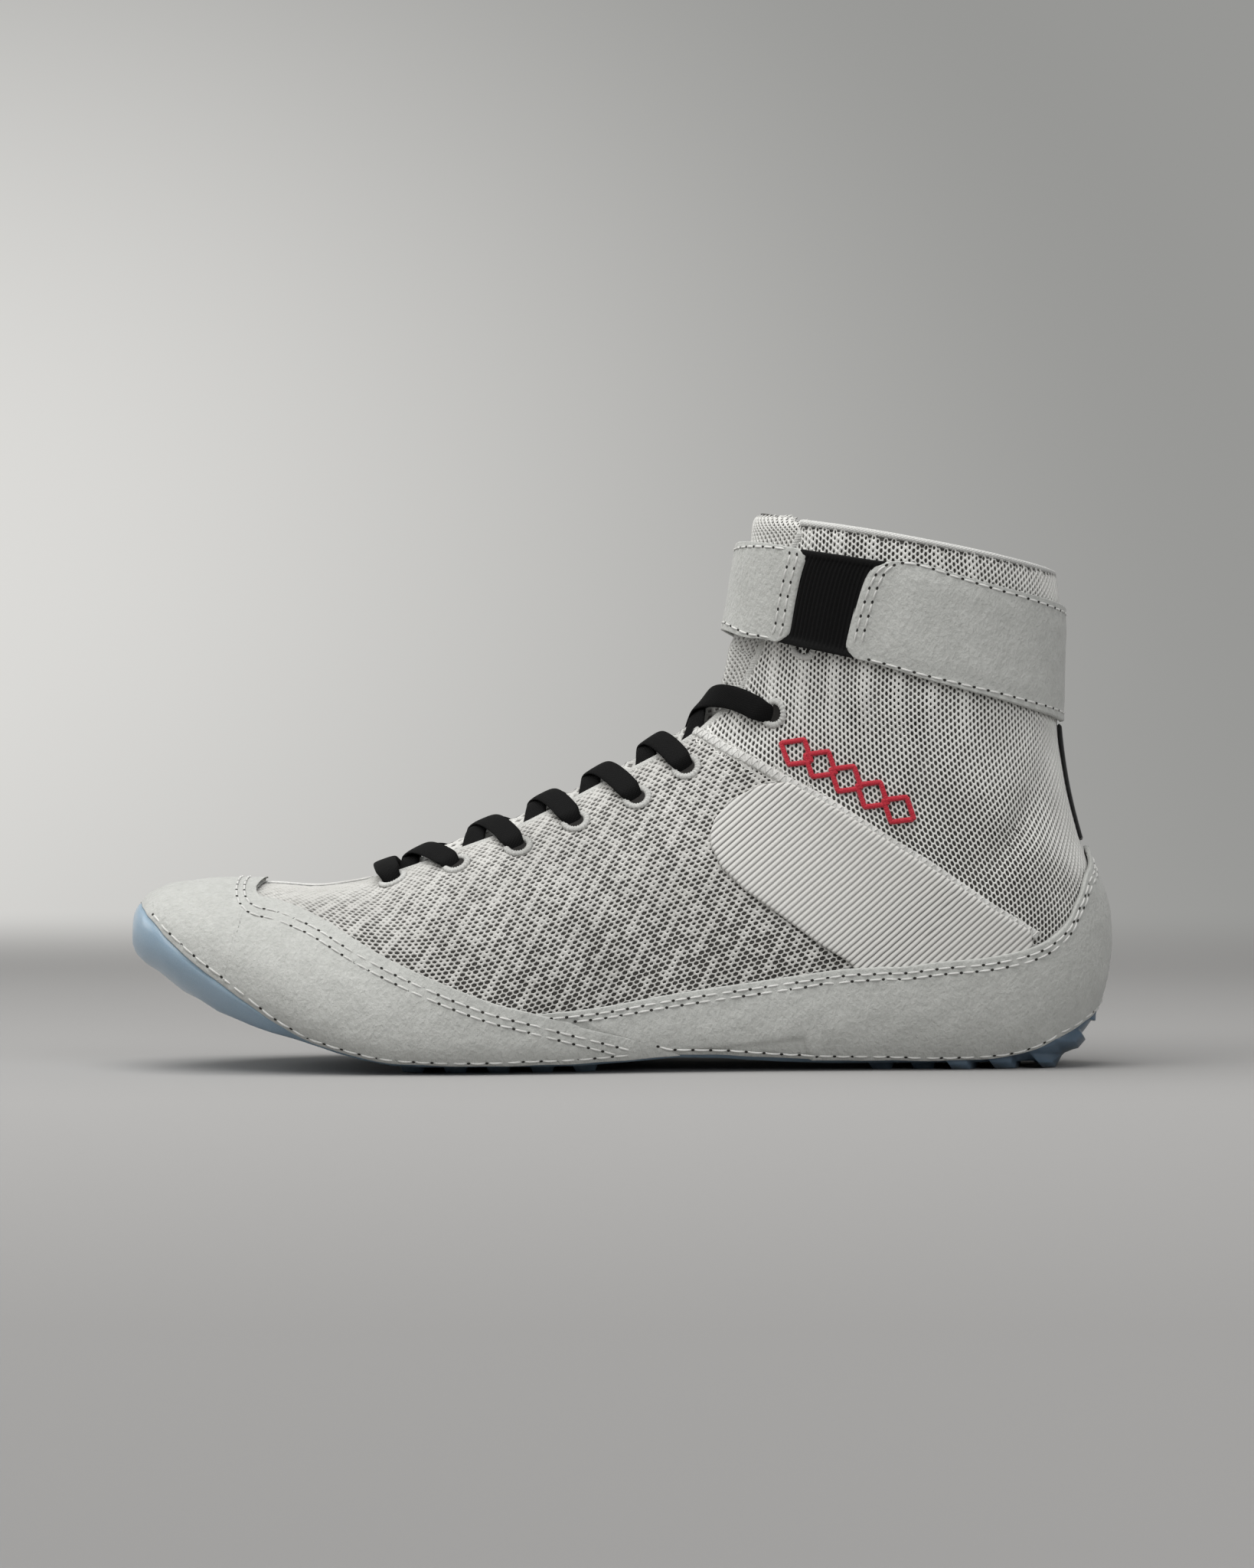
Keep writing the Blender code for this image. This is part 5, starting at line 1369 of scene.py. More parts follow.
@dataclass
class Strap:
    """Ankle strap of suede and elastic, closed on the outer side."""

    threads: Threads
    seat: float = UPPER_DEPTH - SEAT_GAP
    wall: float = 0.0014
    corner: float = 0.0042
    edge_rows: tuple[float, float] = (0.0022, -0.0024)
    rear_rows: tuple[float, float] = (0.0024, 0.0046)
    front_rows: tuple[float, float] = (0.0024, 0.0050)

    def depth_on(self, seat: float, extra: float = 0.0) -> object:
        """Depth of the strap's face for a seat: proud over the laces, then down on the shaft."""
        front = UPPER_DEPTH - 0.0005 - 0.0006 - 0.0010 - SEAT_GAP
        start = front - self.wall + extra
        return lambda rows, turns: start + (seat - front) * smooth((np.abs(turns) - 0.85) / 0.5)

    def lines(self) -> tuple[Array, Array]:
        """Top and bottom edges from the front of the shaft to its back seam."""
        top, low = (np.vstack([[LAST.crest_row(crest), 0.0], LAST.at(line), [LAST.back_row(back), np.pi]])
                    for crest, line, back in zip(STRAP_CREST, (STRAP_TOP, STRAP_BOTTOM), STRAP_BACK))
        return finer(top, 8), finer(low, 8)

    def cut(self, line: Array, first: float | None, last: float | None, count: int) -> Array:
        """Stretch of a line between two length shares."""
        dense = LAST.resample(line, 500)
        x = LAST.bare(dense[:, 0], dense[:, 1])[:, 0]
        keep = np.ones(500, bool)
        if first is not None:
            keep &= x >= share_to_x(first)
        if last is not None:
            keep &= x <= share_to_x(last)
        return LAST.resample(dense[keep], count)

    def length(self, top: Array, low: Array, ends: tuple, count: int, rounded: str,
               columns: int = 44) -> Array:
        """Grid of a length of the strap, with its corners rounded at the start or the end."""
        edges = [self.cut(line, *end, count) for line, end in zip((top, low), ends)]
        grid = between(*edges, edge_spaced(columns, 0.04))
        points = skin_of(grid, 0.0)
        across = np.minimum(rim_distance(points, "t"), rim_distance(points, "l"))
        rest = 1 - np.clip(across / self.corner, 0, 1)
        inset = self.corner * (1 - np.sqrt(np.clip(1 - rest ** 2, 0, 1)))
        total = rim_distance(points, "a")[-1]
        share = np.linspace(0, 1, count)[:, None] * np.ones(len(total))
        for end in rounded:
            cut = inset[0 if end == "a" else -1] / total
            share = cut + share * (1 - cut) if end == "a" else share * (1 - cut)
        index = share * (count - 1)
        low_index = np.minimum(index.astype(int), count - 2)
        part = (index - low_index)[..., None]
        column = np.arange(grid.shape[1])[None, :]
        return grid[low_index, column] * (1 - part) + grid[low_index + 1, column] * part

    def build(self) -> None:
        """Makes the strap's pieces."""
        top, low = self.lines()
        suede = paint(SUEDE)
        behind = [(x[1] - 0.004, None) for x in (ELASTIC_TOP_X, ELASTIC_BOTTOM_X)]
        before = [(None, x[0] + 0.003) for x in (ELASTIC_TOP_X, ELASTIC_BOTTOM_X)]
        rear = self.length(top, low, behind, 90, "a")
        front = self.length(top, low, before, 40, "z")
        over = self.length(top, low, ((None, STRAP_TIP_X), (None, STRAP_TIP_X)), 90, "z")
        slab = Slab(self.depth_on(self.seat), self.wall, 0.0006)
        puffed = Slab(self.depth_on(self.seat - 0.0008, -0.0001), self.wall, 0.0006)
        rear_side = mirrored(rear)
        mesh = slab.mesh([rear_side], "tla", 0, self.puff)
        mesh.build("strap_rear_suede", suede, "suede", ("strap_rear",))
        for distance in self.edge_rows:
            self.threads.sew(offset_line(rear_side, slab.depth, distance, 4), self.face(rear_side, slab))
        self.end_rows(rear_side, self.rear_rows, slab)
        front_side = mirrored(front)
        mesh = puffed.mesh([front_side, over], "tlz")
        mesh.build("strap_front_suede", suede, "suede", ("strap_front",))
        for grid in (front_side[:-3], over[:-3]):
            for distance in self.edge_rows:
                line = offset_line(grid, puffed.depth, distance)
                self.threads.sew(line, puffed.depth(line[:, 0], line[:, 1]))
        for grid in (front_side, over):
            self.end_rows(grid[::-1], self.front_rows, puffed)
        self.elastic(top, low)
        self.landing(top, low)

    def puff(self, points: Array, grid: Array) -> Array:
        """Slight pillow of the padded rear suede between its seams, metres."""
        distance = np.minimum(rim_distance(points, "t"), rim_distance(points, "l"))
        ends = rim_distance(points, "a")
        return 0.0005 * smooth((distance - 0.002) / 0.006) * smooth((ends - 0.006) / 0.01)

    def face(self, grid: Array, slab: Slab) -> Array:
        """Depth of a slab's face along the middle of a grid."""
        middle = grid[:, grid.shape[1] // 2]
        return slab.depth(middle[:, 0], middle[:, 1])

    def end_rows(self, grid: Array, distances: tuple[float, ...], slab: Slab) -> None:
        """Stitch rows across the strap beside its first edge."""
        turned = np.swapaxes(grid, 0, 1)[4:-4]
        for distance in distances:
            line = offset_line(turned, slab.depth, distance)
            self.threads.sew(line, slab.depth(line[:, 0], line[:, 1]), *END_STITCH)

    def elastic(self, top: Array, low: Array) -> None:
        """Black elastic with fine upright ribs and flat selvedges."""
        ends = [(x[0] - 0.006, x[1] + 0.006) for x in (ELASTIC_TOP_X, ELASTIC_BOTTOM_X)]
        grid = self.length(top, low, ends, 170, "", 30)
        places = mirrored(grid)
        depth = self.depth_on(self.seat, 0.0006)

        def ribs(points: Array, _: Array) -> Array:
            """Ribs 1.25 mm apart, coarser than the real ones so that they show, between selvedges."""
            run = rim_distance(points, "a")
            side = np.minimum(rim_distance(points, "t"), rim_distance(points, "l"))
            share = smooth((side - 0.0017) / 0.0005)
            return 0.00022 * np.cos(run / 0.00125 * TAU) * share + 0.00045 * (1 - share)

        slab = Slab(depth, 0.0009, 0.0004)
        outer, inner = slab.faces(places, "tl", 0, ribs)
        uv = np.stack([rim_distance(outer, "a"), rim_distance(outer, "t")], -1)
        mesh = walled(places, outer, inner, uv)
        finish = Finish("woven elastic, black", "#020202", "#0A0A0A", 0.7, 0.25, 0.05, sheen=0.0,
                        specular=0.2)
        mesh.build("strap_elastic_band", paint(finish, Weave.RIB, 0.5), "elastic", ("strap_elastic",))

    def landing(self, top: Array, low: Array) -> None:
        """Loop tape that the strap closes on, outer side."""
        grid = self.length(top, low, ((0.735, None), (0.735, None)), 60, "", 20)
        grid = grid[:, 2:-2].copy()
        grid[..., 1] = np.minimum(grid[..., 1], np.pi - 0.02)
        tape = UPPER_DEPTH - SEAT_GAP - 0.0008
        slab = Slab(lambda rows, turns: tape + 0 * rows, 0.0008, 0.0004)
        outer, inner = slab.faces(grid, "tlaz")
        mesh = walled(grid, outer, inner)
        finish = Finish("brushed loop tape, black", "#101011", "#2A2A2C", 0.95, 0.5, 0.25, sheen=0.5)
        mesh.build("strap_landing_tape", paint(finish), "black_tape", ("strap_landing",))


@dataclass
class Backstay:
    """Black tape up the back seam, left without any lettering."""

    half_width: float = 0.0062

    def build(self) -> None:
        """Makes the tape from the heel guard's tip to the strap."""
        rows = np.linspace(LAST.back_row(HEEL_GUARD_TIP) + 0.1, LAST.back_row(STRAP_BACK[1]) - 0.05, 60)
        turns = np.linspace(0, 1.2, 61)
        points = LAST.bare(rows[:, None], np.pi - turns[None])
        width = np.abs(points[..., 1] - points[:, :1, 1])
        turn = np.array([np.interp(self.half_width, w, turns) for w in width])
        grid = between(line_of(rows, np.pi - turn), line_of(rows, np.pi + turn), edge_spaced(16, 0.05))
        tape = UPPER_DEPTH - 0.0011
        slab = Slab(lambda r, t: tape + 0 * r, 0.0009, 0.0004)
        outer, inner = slab.faces(grid, "tlaz")
        mesh = walled(grid, outer, inner)
        finish = Finish("grosgrain tape, black", "#0A0A0A", "#1B1A1A", 0.6, 0.3, 0.05, sheen=0.2)
        mesh.build("backstay_tape", paint(finish, Weave.RIB, 0.7), "black_tape", ("backstay",))


def beside(place: Array, right: Array, up: Array) -> tuple[Array, Array]:
    """Places reached from one by going right along its turn and up the rows, in metres."""
    row, turn = place
    along = (LAST.bare(row + 0.01, turn) - LAST.bare(row - 0.01, turn)) / 0.02
    cross = (LAST.bare(row, turn + 0.01) - LAST.bare(row, turn - 0.01)) / 0.02
    cross_length = np.linalg.norm(cross)
    lean = np.dot(along, cross / cross_length)
    rise = np.linalg.norm(along - lean * cross / cross_length)
    rows = np.asarray(up) / rise
    return row + rows, turn + (np.asarray(right) - rows * lean) / cross_length


@dataclass
class Eyelets:
    """Round embroidered eyelets along both sides of the throat."""

    radius: float = 0.0034
    thread: float = 0.00095

    def build(self) -> None:
        """Makes the rings, and dark discs of painted shade in them where the holes are."""
        rings, holes = Mesh(), Mesh()
        angle = np.linspace(0, TAU, 90, endpoint=False)
        names = []
        for number, place in enumerate(LAST.at(EYELETS), start=1):
            for side, sign in (("medial", -1), ("lateral", 1)):
                names.append(f"eyelet_{side}_{number}")
                spot = (place[0], sign * place[1])
                rows, turns = beside(spot, self.radius * np.cos(angle), self.radius * np.sin(angle))
                points = soft_skin(rows, turns, UPPER_DEPTH - 0.0002)
                swell = 1 + 0.16 * np.sin(angle * 22)
                tube(rings, points, LAST.outward(rows, turns), self.thread * swell, 0.0007 * swell, 8,
                     closed=True)
                # A dark disc fills each ring: painted shade for the hole.
                inner = (self.radius - 0.0004) * np.linspace(0, 1, 5)[1:, None]
                rows, turns = beside(spot, inner * np.cos(angle[::5]), inner * np.sin(angle[::5]))
                disc = soft_skin(rows, turns, UPPER_DEPTH - 0.00020)
                base = len(angle[::5])
                quads = quads_of(4, base, closed=True)
                holes.add(disc.reshape(-1, 3), quads)
                holes.faces.append(np.arange(base)[None] + holes.count - 4 * base)
        ring = Finish("eyelet embroidery, light grey", "#8F8F8B", "#CFCFCC", 0.85, 0.3, 0.12, sheen=0.1)
        dark = Finish("eyelet hole, painted shade", "#161514", "#242220", 0.95, 0.5, 0.0)
        rings.build("eyelet_rings", paint(ring), "eyelet_thread", tuple(names))
        holes.build("eyelet_hole_painted_shade", paint(dark), "eyelet_thread", shade=False)


@dataclass
class Laces:
    """Flat woven laces: each crossing rises over the throat's edge and dives into an eyelet."""

    width: float = 0.0070
    thickness: float = 0.0013

    def build(self) -> None:
        """Makes the bar at the toe and the seven crossings."""
        mesh = Mesh()
        holes = LAST.at(EYELETS)
        self.bar(mesh, holes[0])
        for number in range(len(holes) - 1):
            last = number == len(holes) - 2
            for sign in (-1, 1):
                self.arm(mesh, holes[number], holes[number + 1], sign, 1.0 if last else 0.0)
        finish = Finish("flat braided lace, black polyester", "#020202", "#0A0A0B", 0.7, 0.25, 0.05,
                        sheen=0.0, specular=0.12)
        names = tuple(f"lace_crossing_{k}" for k in range(1, len(holes)))
        mesh.build("laces", paint(finish, Weave.TWILL, 0.65), "lace_cord", names)

    def band(self, mesh: Mesh, row: Array, turn: Array, depth: Array, dive: Array) -> None:
        """Adds a band along places at depths, narrower and thicker where it dives."""
        points = LAST.bare(row, turn) - LAST.outward(row, turn) * depth[:, None]
        for _ in range(6):
            points[1:-1] = (points[:-2] + 2 * points[1:-1] + points[2:]) / 4
        normals = LAST.outward(row, turn)
        half = self.width / 2 * (1 - 0.34 * dive)
        tube(mesh, points, normals, half, self.thickness / 2 * (1 + 0.9 * dive), 20, 2.8)

    def bar(self, mesh: Mesh, hole: Array) -> None:
        """Straight bar between the first two eyelets."""
        share = np.linspace(-1, 1, 90)
        row = hole[0] - 0.12 * (1 - share ** 2)
        turn = share * (hole[1] + 0.03)
        dive = smooth((np.abs(share) - 0.78) / 0.22)
        depth = UPPER_DEPTH - 0.0023 - 0.0008 * (1 - share ** 2) + 0.0048 * dive ** 2.5
        self.band(mesh, row, turn, depth, dive)

    def arm(self, mesh: Mesh, lower: Array, higher: Array, sign: float, lift: float) -> None:
        """One lace from under the throat's edge, over the tongue, into the next eyelet.

        Args:
            mesh: where to add it.
            lower: place of the eyelet before.
            higher: place of the eyelet it enters.
            sign: side it ends on.
            lift: rows that it bows upwards, for the crossing that lies under the strap.
        """
        start_row = lower[0] + 0.15 + lift * (higher[0] - lower[0]) * 0.9
        start = -sign * max(float(THROAT_EDGE(start_row)) + 0.02, 0.14)
        share = np.linspace(0, 1, 110)
        row = start_row + (higher[0] - start_row) * share ** 1.15 + 1.3 * lift * np.sin(np.pi * share)
        goal = sign * (higher[1] + 0.035)
        turn = start + (goal - start) * share
        dive = smooth((share - 0.86) / 0.14)
        under = 1 - smooth(share / 0.30)
        over = 0.0009 if sign < 0 else 0.0
        middle = np.exp(-((share - 0.42) / 0.20) ** 2)
        depth = (UPPER_DEPTH - 0.0016 + 0.0037 * under - over * middle
                 - 0.0005 * np.sin(np.pi * np.clip((share - 0.35) / 0.6, 0, 1)) + 0.0048 * dive ** 2.5)
        self.band(mesh, row, turn, depth, dive)


@dataclass
class Tongue:
    """Padded tongue: a soft body with open knit over it, rolled at the top."""

    thickness: float = 0.0034
    lap: float = 0.30
    fall: float = 0.75

    def roll(self, rows: Array) -> Array:
        """How far rows are into the rolled top, 0 to 1."""
        return smooth((rows - 24.6) / 1.35)

    def half(self, rows: Array) -> Array:
        """Half-width as a turn: past the throat's edge by the lap."""
        return THROAT_EDGE(rows) + self.lap

    def depth(self, rows: Array, turns: Array) -> Array:
        """Depth of the tongue's face: just under the laces, then under the upper's wall."""
        crest = UPPER_DEPTH + 0.0001
        under = UPPER_DEPTH + FABRIC_WALL + SEAT_GAP + 0.0003
        edge = np.maximum(THROAT_EDGE(rows) - 0.16, 0.05)
        return crest + (under - crest) * smooth(np.abs(turns) / edge)

    def build(self) -> None:
        """Makes the tongue's body and its knit."""
        rows = np.linspace(7.9, TONGUE_TOP_ROW, 200)
        half = self.half(rows)
        grid = between(line_of(rows, -half), line_of(rows, half), edge_spaced(44, 0.04))
        share = np.abs(grid[..., 1]) / half[:, None]
        grid[..., 0] -= self.roll(rows)[:, None] * (0.10 + self.fall * share ** 2)
        face = self.depth(grid[..., 0], grid[..., 1])
        points = skin_of(grid, face)
        drop = np.maximum(rounding(rim_distance(points, "tl"), 0.0016),
                          rounding(rim_distance(points, "z"), 0.0032))
        outer = skin_of(grid, face + 0.0004 + drop)
        inner = skin_of(grid, face + self.thickness - drop * 0.6)
        mesh = walled(grid, outer, inner)
        body = Finish("tongue lining jersey, grey", "#6A6865", "#8C8A87", 0.95, 0.5, 0.08, sheen=0.2)
        obj = mesh.build("tongue_body", paint(body), "mesh_fabric", ("tongue",))
        chart = Chart(2, share_to_z(0.35), share_to_z(1.03), (7.9, 26.0), back=False)

        def inside(seen: Array, places: Array) -> Array:
            """Holes within the tongue's visible width and below its rolled top."""
            share = places[:, 1] / self.half(places[:, 0])
            top = TONGUE_TOP_ROW - 0.03 - self.fall * self.roll(places[:, 0]) * share ** 2
            return (share < 0.94) & (places[:, 0] < top) & (places[:, 0] > 8.0)

        def face_of(r: Array, t: Array) -> Array:
            """Depth of the knit, rolled back at the tongue's top edge."""
            share = t / self.half(r)
            end = TONGUE_TOP_ROW - self.fall * self.roll(r) * share ** 2
            return self.depth(r, t) - 0.0001 + rounding(np.maximum(end - r, 0) * 0.005, 0.0032)

        net = Net(chart, (0.0019, 0.0022), 0.0, 0.0005, face_of, inside,
                  lambda at: np.full(len(at), 0.62), lambda at: 0 * at[..., 0])
        mesh = Mesh()
        for sign in (-1, 1):
            net.knit(mesh, sign, 4)
        yarn = Finish("tongue spacer knit, light grey", "#BEBDB9", "#DEDEDA", 0.72, 0.22, 0.06, sheen=0.25)
        mesh.build("tongue_net", paint(yarn), "mesh_fabric")
        mesh = Mesh()
        rim = grid[60:-6, 0]
        for side in (rim, mirrored(rim)):
            depth = self.depth(side[:, 0], side[:, 1]) + 0.0012
            tube(mesh, skin_of(side, depth), outward_of(side),
                 0.0008, 0.0015, 12, 2.2)
        edge = Finish("tongue edge binding, light grey", "#B9B9B5", "#DDDDD9", 0.8, 0.3, 0.08, sheen=0.25)
        mesh.build("tongue_binding", paint(edge, Weave.TWILL, 0.8), "binding_tape")


@dataclass
class Sole:
    """Translucent rubber outsole with lugs, and the foam insole on it."""

    wall: float = 0.0013
    corner: float = 0.0008
    hem_gap: float = 0.0013
    lug_pitch: float = 0.0062
    bar_start: float = 0.42
    bar_end: float = 0.93
    flank: float = 0.07
    bare_bars: int = 4
    forefoot: tuple[float, float] = (0.085, 0.470)
    heel: tuple[float, float] = (0.735, 0.985)
    heel_open: float = 0.815

    def lugs(self, x: Array, across: Array) -> Array:
        """Lug height share: bars with steep flanks, split by a groove on every other bar.

        Args:
            x: length shares of the sole line.
            across: share of the way across the sole, 0 to 1.
        """
        pitch = self.lug_pitch / SHOE_LENGTH
        phase = ((x - self.forefoot[0]) / (2 * pitch)) % 1.0
        bar = smooth((phase - self.bar_start) / self.flank)
        bar = bar * (1 - smooth((phase - self.bar_end) / self.flank))
        whole = np.floor((x - self.forefoot[0]) / (2 * pitch)) % 2 == 0
        middle = 1 - smooth((0.10 - np.abs(across - 0.5)) / 0.02)
        reach = np.where(x < self.heel_open, 0.30, 0.47)
        side = smooth((reach - np.abs(across - 0.5)) / 0.03)
        first = self.forefoot[0] + 2 * pitch * self.bare_bars
        tread = ((x > first) & (x < self.forefoot[1])) | (x > self.heel[0])
        return bar * side * np.where(whole, 1.0, middle) * tread

    def build(self) -> None:
        """Makes outsole and insole."""
        self.outsole()
        self.insole()

    def outsole(self) -> None:
        """Plate with its wrapped-up toe and heel, and its lugs."""
        base = (LAST.floor(share_to_x(HEM[:, 0])) - LUG_HEIGHT) / SHAFT_RISE
        low_points = np.stack([HEM[:, 0], base + (SOLE_PLATE - self.corner) / SHAFT_RISE], -1)
        high_points = np.stack([HEM[:, 0], np.maximum(HEM[:, 1], base + SOLE_PLATE / SHAFT_RISE)], -1)
        start = [LAST.crest_row_x(HEM_CREST_X), 0.0]
        end = [LAST.back_row(HEM_BACK), np.pi]
        edge = as_line(np.vstack([start, LAST.at(high_points), end]))
        nose = LAST.at([(0.0, low_points[0, 1])])[0, 1]
        turn_back = [LAST.back_row((SOLE_PLATE - self.corner) / SHAFT_RISE), np.pi]
        low_places = LAST.at(low_points)
        low_places = low_places[low_places[:, 0] < turn_back[0] - 0.1]
        corner = as_line(np.vstack([[0.0, nose], low_places, turn_back]))
        hem = LAST.at(HEM)
        order = np.argsort(hem[:, 0])
        rise = (share_to_z(HEM[:, 1]) - LAST.floor(share_to_x(HEM[:, 0])))[order]
        search = np.linspace(0, 17, 1701)
        pitch = self.lug_pitch / SHOE_LENGTH
        flanks = [foot + run for foot in (self.bar_start, self.bar_end) for run in (0.0, self.flank)]
        steps = (np.array([*flanks, 0.2, 0.7]) * 2 * pitch)[None]
        lengths = np.sort((self.forefoot[0] + 2 * pitch * np.arange(0, 21)[:, None] + steps).ravel())
        rows = np.interp(share_to_x(lengths[lengths < 0.955]), LAST.section(search)[2], search)
        tail = np.linspace(rows[-1], end[0], 50)[1:]
        toe = np.concatenate([np.linspace(0, 1.5, 26), np.linspace(1.6, 4.2, 20)])
        rows = np.concatenate([toe, rows[rows > 4.25], tail])
        turn = np.where(rows > start[0], edge(rows), 0.0)
        turn[-1] = np.pi
        turn_in = np.clip(corner(rows), turn + 0.04, np.pi)
        turn_in = np.where(turn_in > np.pi - 0.08, np.pi, turn_in)
        side = between(line_of(rows, turn), line_of(rows, turn_in), np.linspace(0, 1, 8))
        groove_edges = [0.03, 0.06, 0.385, 0.395, 0.41, 0.59, 0.605, 0.615]
        shares = np.unique(np.concatenate([np.linspace(0, 1, 31), groove_edges]))
        plate = between(line_of(rows, turn_in), line_of(rows, TAU - turn_in), shares)
        far = side[:, ::-1].copy()
        far[..., 1] = TAU - far[..., 1]
        grid = np.concatenate([side[:, :-1], plate, far[:, 1:]], axis=1)
        across = np.concatenate([np.zeros(7), shares, np.ones(7)])[None] * np.ones((len(rows), 1))
        rolled = (turn_in >= np.pi)[:, None]
        round_toe = (grid[..., 1] - np.pi) / np.maximum(np.pi - turn[:, None], 0.05)
        across = np.where(rolled, 0.5 * (1 + round_toe), across)
        x = LAST.section(rows)[2] / SHOE_LENGTH + 0.5
        z = LAST.section(rows)[3]
        x = np.where(rows > 14.2, x + np.maximum(z - share_to_z(-0.02), 0) / SHOE_LENGTH * 0.7, x)
        recess = (GUARD + SEAT_GAP) * smooth((SOLE_PLATE + SEAT_GAP - np.interp(rows, hem[order, 0], rise))
                                             / (SEAT_GAP + self.hem_gap))[:, None]
        lug = self.lugs(x[:, None], across) * smooth((end[0] - 0.25 - rows) / 0.4)[:, None]
        lug = lug * np.where(rolled, 1.0, (across > 0.001) & (across < 0.999))
        depth = recess * np.ones(grid.shape[1]) - LUG_HEIGHT * lug
        rows2, turns2 = grid[..., 0], grid[..., 1]
        outer = LAST.bare(rows2, turns2) - LAST.outward(rows2, turns2) * depth[..., None]
        ground = LAST.floor(outer[..., 0]) - LUG_HEIGHT * lug
        outer[..., 2] = np.maximum(outer[..., 2], ground)
        drop = rounding(rim_distance(outer, "tl"), 0.0005)
        outer -= LAST.outward(rows2, turns2) * drop[..., None]
        inner = LAST.skin(rows2, turns2, recess * np.ones(grid.shape[1]) + self.wall, SOLE_PLATE)
        mesh = walled(grid, outer, inner)
        finish = Finish("translucent rubber, pale blue, moulded", "#879DAF", "#9BB0C0", 0.34, 0.35, 0.03,
                        patch_mm=30.0, coat=0.25, subsurface=0.35)
        # The rubber's heel end is given a darker slate blue: painted shade.
        mesh.build("outsole_rubber", paint(finish, painted_heel_shade="#4E6070"), "sole_rubber", ("outsole",))

    def insole(self) -> None:
        """Foam insole on the plate."""
        rest = SOLE_PLATE + SEAT_GAP
        depth = UPPER_DEPTH + FABRIC_WALL + SEAT_GAP
        rows = np.linspace(2.4, 14.6, 90)
        x = np.linspace(0.0, 0.93, 60)
        height = (LAST.floor(share_to_x(x)) + rest + 0.001 - LUG_HEIGHT) / SHAFT_RISE
        turn = as_line(LAST.at(np.stack([x, height], -1)))(rows)
        grid = between(line_of(rows, turn), line_of(rows, TAU - turn), edge_spaced(24, 0.04))
        under = skin_of(grid, depth, rest)
        top = under.copy()
        level = LAST.floor(top[..., 0]) + rest + 0.004
        top[..., 2] = np.maximum(level, top[..., 2] + 0.001)
        top[..., 2] -= rounding(rim_distance(top, "tlaz"), 0.001) * 0.8
        mesh = walled(grid, under, top)
        finish = Finish("insole foam with jersey cover, charcoal", "#2C2C2E", "#454548", 0.95, 0.5, 0.1,
                        sheen=0.2)
        obj = mesh.build("insole_foam", paint(finish), "insole_foam", ("insole",))


@dataclass
class Motif:
    """Generic embroidery on the inner ankle: a zigzag chain of small open lozenges."""

    line: tuple[tuple[float, float], ...] = (
        (0.668, 0.575), (0.700, 0.545), (0.735, 0.505), (0.770, 0.468))
    count: int = 5
    size: float = 0.0052

    def build(self) -> None:
        """Makes the chain as a satin-stitched cord of red thread."""
        line = np.array(self.line)
        share = np.linspace(0, 1, self.count)
        at = np.stack([np.interp(share, np.linspace(0, 1, len(line)), line[:, k]) for k in (0, 1)], -1)
        mesh = Mesh()
        lean = np.radians(-32)
        for x, z in at:
            corner = np.array([(1.0, 0), (0, 0.8), (-1.0, 0), (0, -0.8), (1.0, 0)]) * self.size
            step = np.linspace(0, 4, 97)[:-1]
            path = np.stack([np.interp(step, np.arange(5), corner[:, k]) for k in (0, 1)], -1)
            for _ in range(3):
                path = (np.roll(path, 1, 0) + 2 * path + np.roll(path, -1, 0)) / 4
            right = path[:, 0] * np.cos(lean) - path[:, 1] * np.sin(lean)
            up = path[:, 0] * np.sin(lean) + path[:, 1] * np.cos(lean)
            places = LAST.at(np.stack([x + right / SHOE_LENGTH, z + up / SHAFT_RISE], -1)) * [1, -1]
            normals = outward_of(places)
            swell = 1 + 0.10 * np.sin(np.arange(96) * 2.1)
            points = soft_of(places, UPPER_DEPTH - 0.0004)
            tube(mesh, points, normals, 0.00078 * swell, 0.00062 * swell, 10, 2.0, True)
        finish = Finish("satin-stitch embroidery thread, red", "#B0102A", "#E0273F", 0.5, 0.3, 0.08,
                        sheen=0.2)
        mesh.build("ankle_motif", paint(finish, Weave.RIB, 0.5), "eyelet_thread")


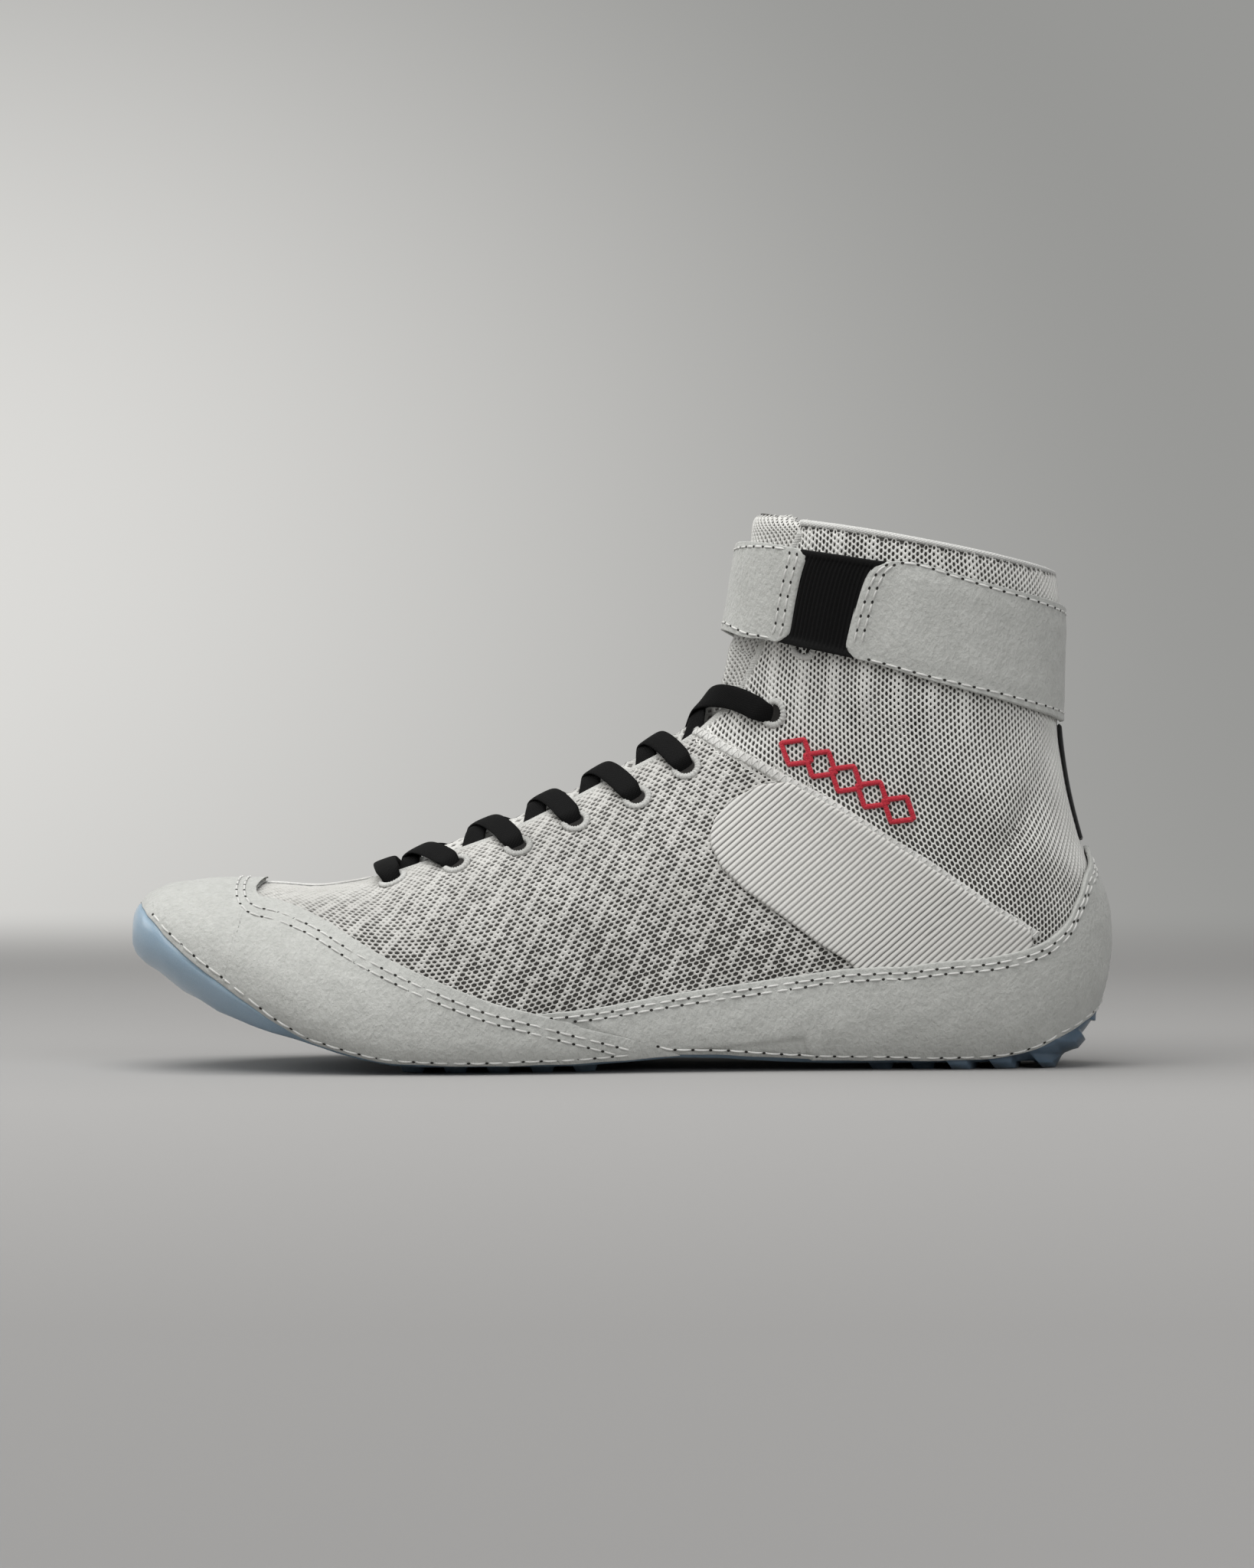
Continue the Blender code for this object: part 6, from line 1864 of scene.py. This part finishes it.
@dataclass
class Studio:
    """Grey studio sweep, soft lights and the camera."""

    camera_height: float = 0.0826
    distance: float = 1.28
    lens: float = 100.0

    def build(self) -> None:
        """Makes floor, backdrop, lights and camera."""
        self.sweep()
        self.light("top_softbox", (-0.25, -0.30, 1.25), (0.0, 0.0, 0.05), 1.3, 20.0, (1.0, 0.995, 0.985))
        self.light("key_left", (-1.0, -0.85, 0.95), (-0.02, 0.0, 0.06), 0.8, 5.8, (1.0, 0.995, 0.98))
        self.light("fill_front", (0.8, -1.3, 0.75), (0.08, 0.0, 0.08), 0.9, 9.0, (0.985, 0.99, 1.0))
        self.light("rim_left", (-1.1, 0.35, 0.5), (-0.05, 0.0, 0.05), 0.6, 2.5, (1.0, 1.0, 1.0))
        world = bpy.data.worlds.new("studio")
        world.use_nodes = True
        world.node_tree.nodes["Background"].inputs[0].default_value = linear("#B8B8B8")
        world.node_tree.nodes["Background"].inputs[1].default_value = 0.22
        bpy.context.scene.world = world
        bpy.context.scene.view_settings.view_transform = "Standard"
        camera = bpy.data.cameras.new("camera")
        camera.lens = self.lens
        camera.sensor_width = 36.0
        camera.clip_end = 50.0
        obj = placed("camera", camera)
        obj.location = (0.0, -self.distance, self.camera_height)
        obj.rotation_euler = (np.pi / 2, 0.0, 0.0)
        bpy.context.scene.camera = obj

    def sweep(self) -> None:
        """Floor that curves up into the wall: the wall glows by emission, brightest low at the left, as
        painted light, and the floor is painted darker towards the front as painted shade.
        """
        angle = np.linspace(0, np.pi / 2, 40)
        bend = 1.1
        y = np.concatenate([[-2.5], 0.6 + bend * np.sin(angle), [0.6 + bend]])
        z = np.concatenate([[0.0], bend * (1 - np.cos(angle)), [4.0]])
        x = np.linspace(-4, 4, 9)
        grid = np.stack(np.broadcast_arrays(x[:, None], y[None], z[None]), -1)
        mesh = bpy.data.meshes.new("studio_sweep")
        mesh.from_pydata(grid.reshape(-1, 3).tolist(), [], quads_of(*grid.shape[:2]).tolist())
        mesh.polygons.foreach_set("use_smooth", np.full(len(mesh.polygons), True))
        made = Painter("painted studio sweep, matt grey, washed by a wall light")
        place = made.node("ShaderNodeTexCoord").outputs["Object"]
        split = made.node("ShaderNodeSeparateXYZ", {0: place})
        # The wall is not lit: it glows, brightest low at the left, as painted light.
        glow_at = made.node("ShaderNodeMapping", {
            "Vector": place, "Location": (0.55, 0.0, -0.24), "Scale": (1.0, 0.0, 1.25)})
        reach = made.node("ShaderNodeVectorMath", {0: glow_at.outputs[0]}, operation="LENGTH")
        glow = made.ramp(reach.outputs["Value"], (0.08, "#DEDDDA"), (0.95, "#979795"), "EASE")
        shine = made.node("ShaderNodeEmission", {"Color": glow, "Strength": 1.0})
        rise = made.node("ShaderNodeMapRange", {0: split.outputs[2], 1: 0.0, 2: 0.022},
                         interpolation_type="SMOOTHSTEP")
        both = made.node("ShaderNodeMixShader", {
            0: rise.outputs[0], 1: made.shader.outputs[0], 2: shine.outputs[0]})
        output = made.tree.nodes["Material Output"]
        made.tree.links.new(both.outputs[0], output.inputs["Surface"])
        # The floor's colour darkens towards the camera: painted shade.
        floor_painted_shade = made.node("ShaderNodeMapRange", {0: split.outputs[1], 1: -0.62, 2: -0.15})
        made.link(made.ramp(floor_painted_shade.outputs[0], (0.0, "#858483"), (1.0, "#999897")), "Base Color")
        made.shader.inputs["Roughness"].default_value = 0.9
        mesh.materials.append(made.material)
        obj = placed("studio_sweep", mesh)

    def light(self, name: str, place: tuple, aim: tuple, size: float, power: float, colour: tuple) -> None:
        """Adds one square area light.

        Args:
            name: light name.
            place: its position.
            aim: the point it faces.
            size: side length, metres.
            power: watts.
            colour: linear RGB.
        """
        data = bpy.data.lights.new(name, "AREA")
        data.size = size
        data.energy = power
        data.color = colour
        obj = placed(name, data)
        obj.location = place
        way = np.array(place) - np.array(aim)
        flat = np.hypot(way[0], way[1])
        obj.rotation_euler = (np.arctan2(flat, way[2]), 0.0, np.arctan2(way[0], -way[1]))


def main() -> None:
    """Builds the shoe piece by piece, then the studio."""
    logging.basicConfig(level=logging.INFO, format="%(message)s")
    threads = Threads()
    Sole().build()
    Upper().build()
    Tongue().build()
    Guards(threads).build()
    RibPanels().build()
    Backstay().build()
    Strap(threads).build()
    Eyelets().build()
    Laces().build()
    Motif().build()
    threads.build()
    Studio().build()


if __name__ == "__main__":
    main()
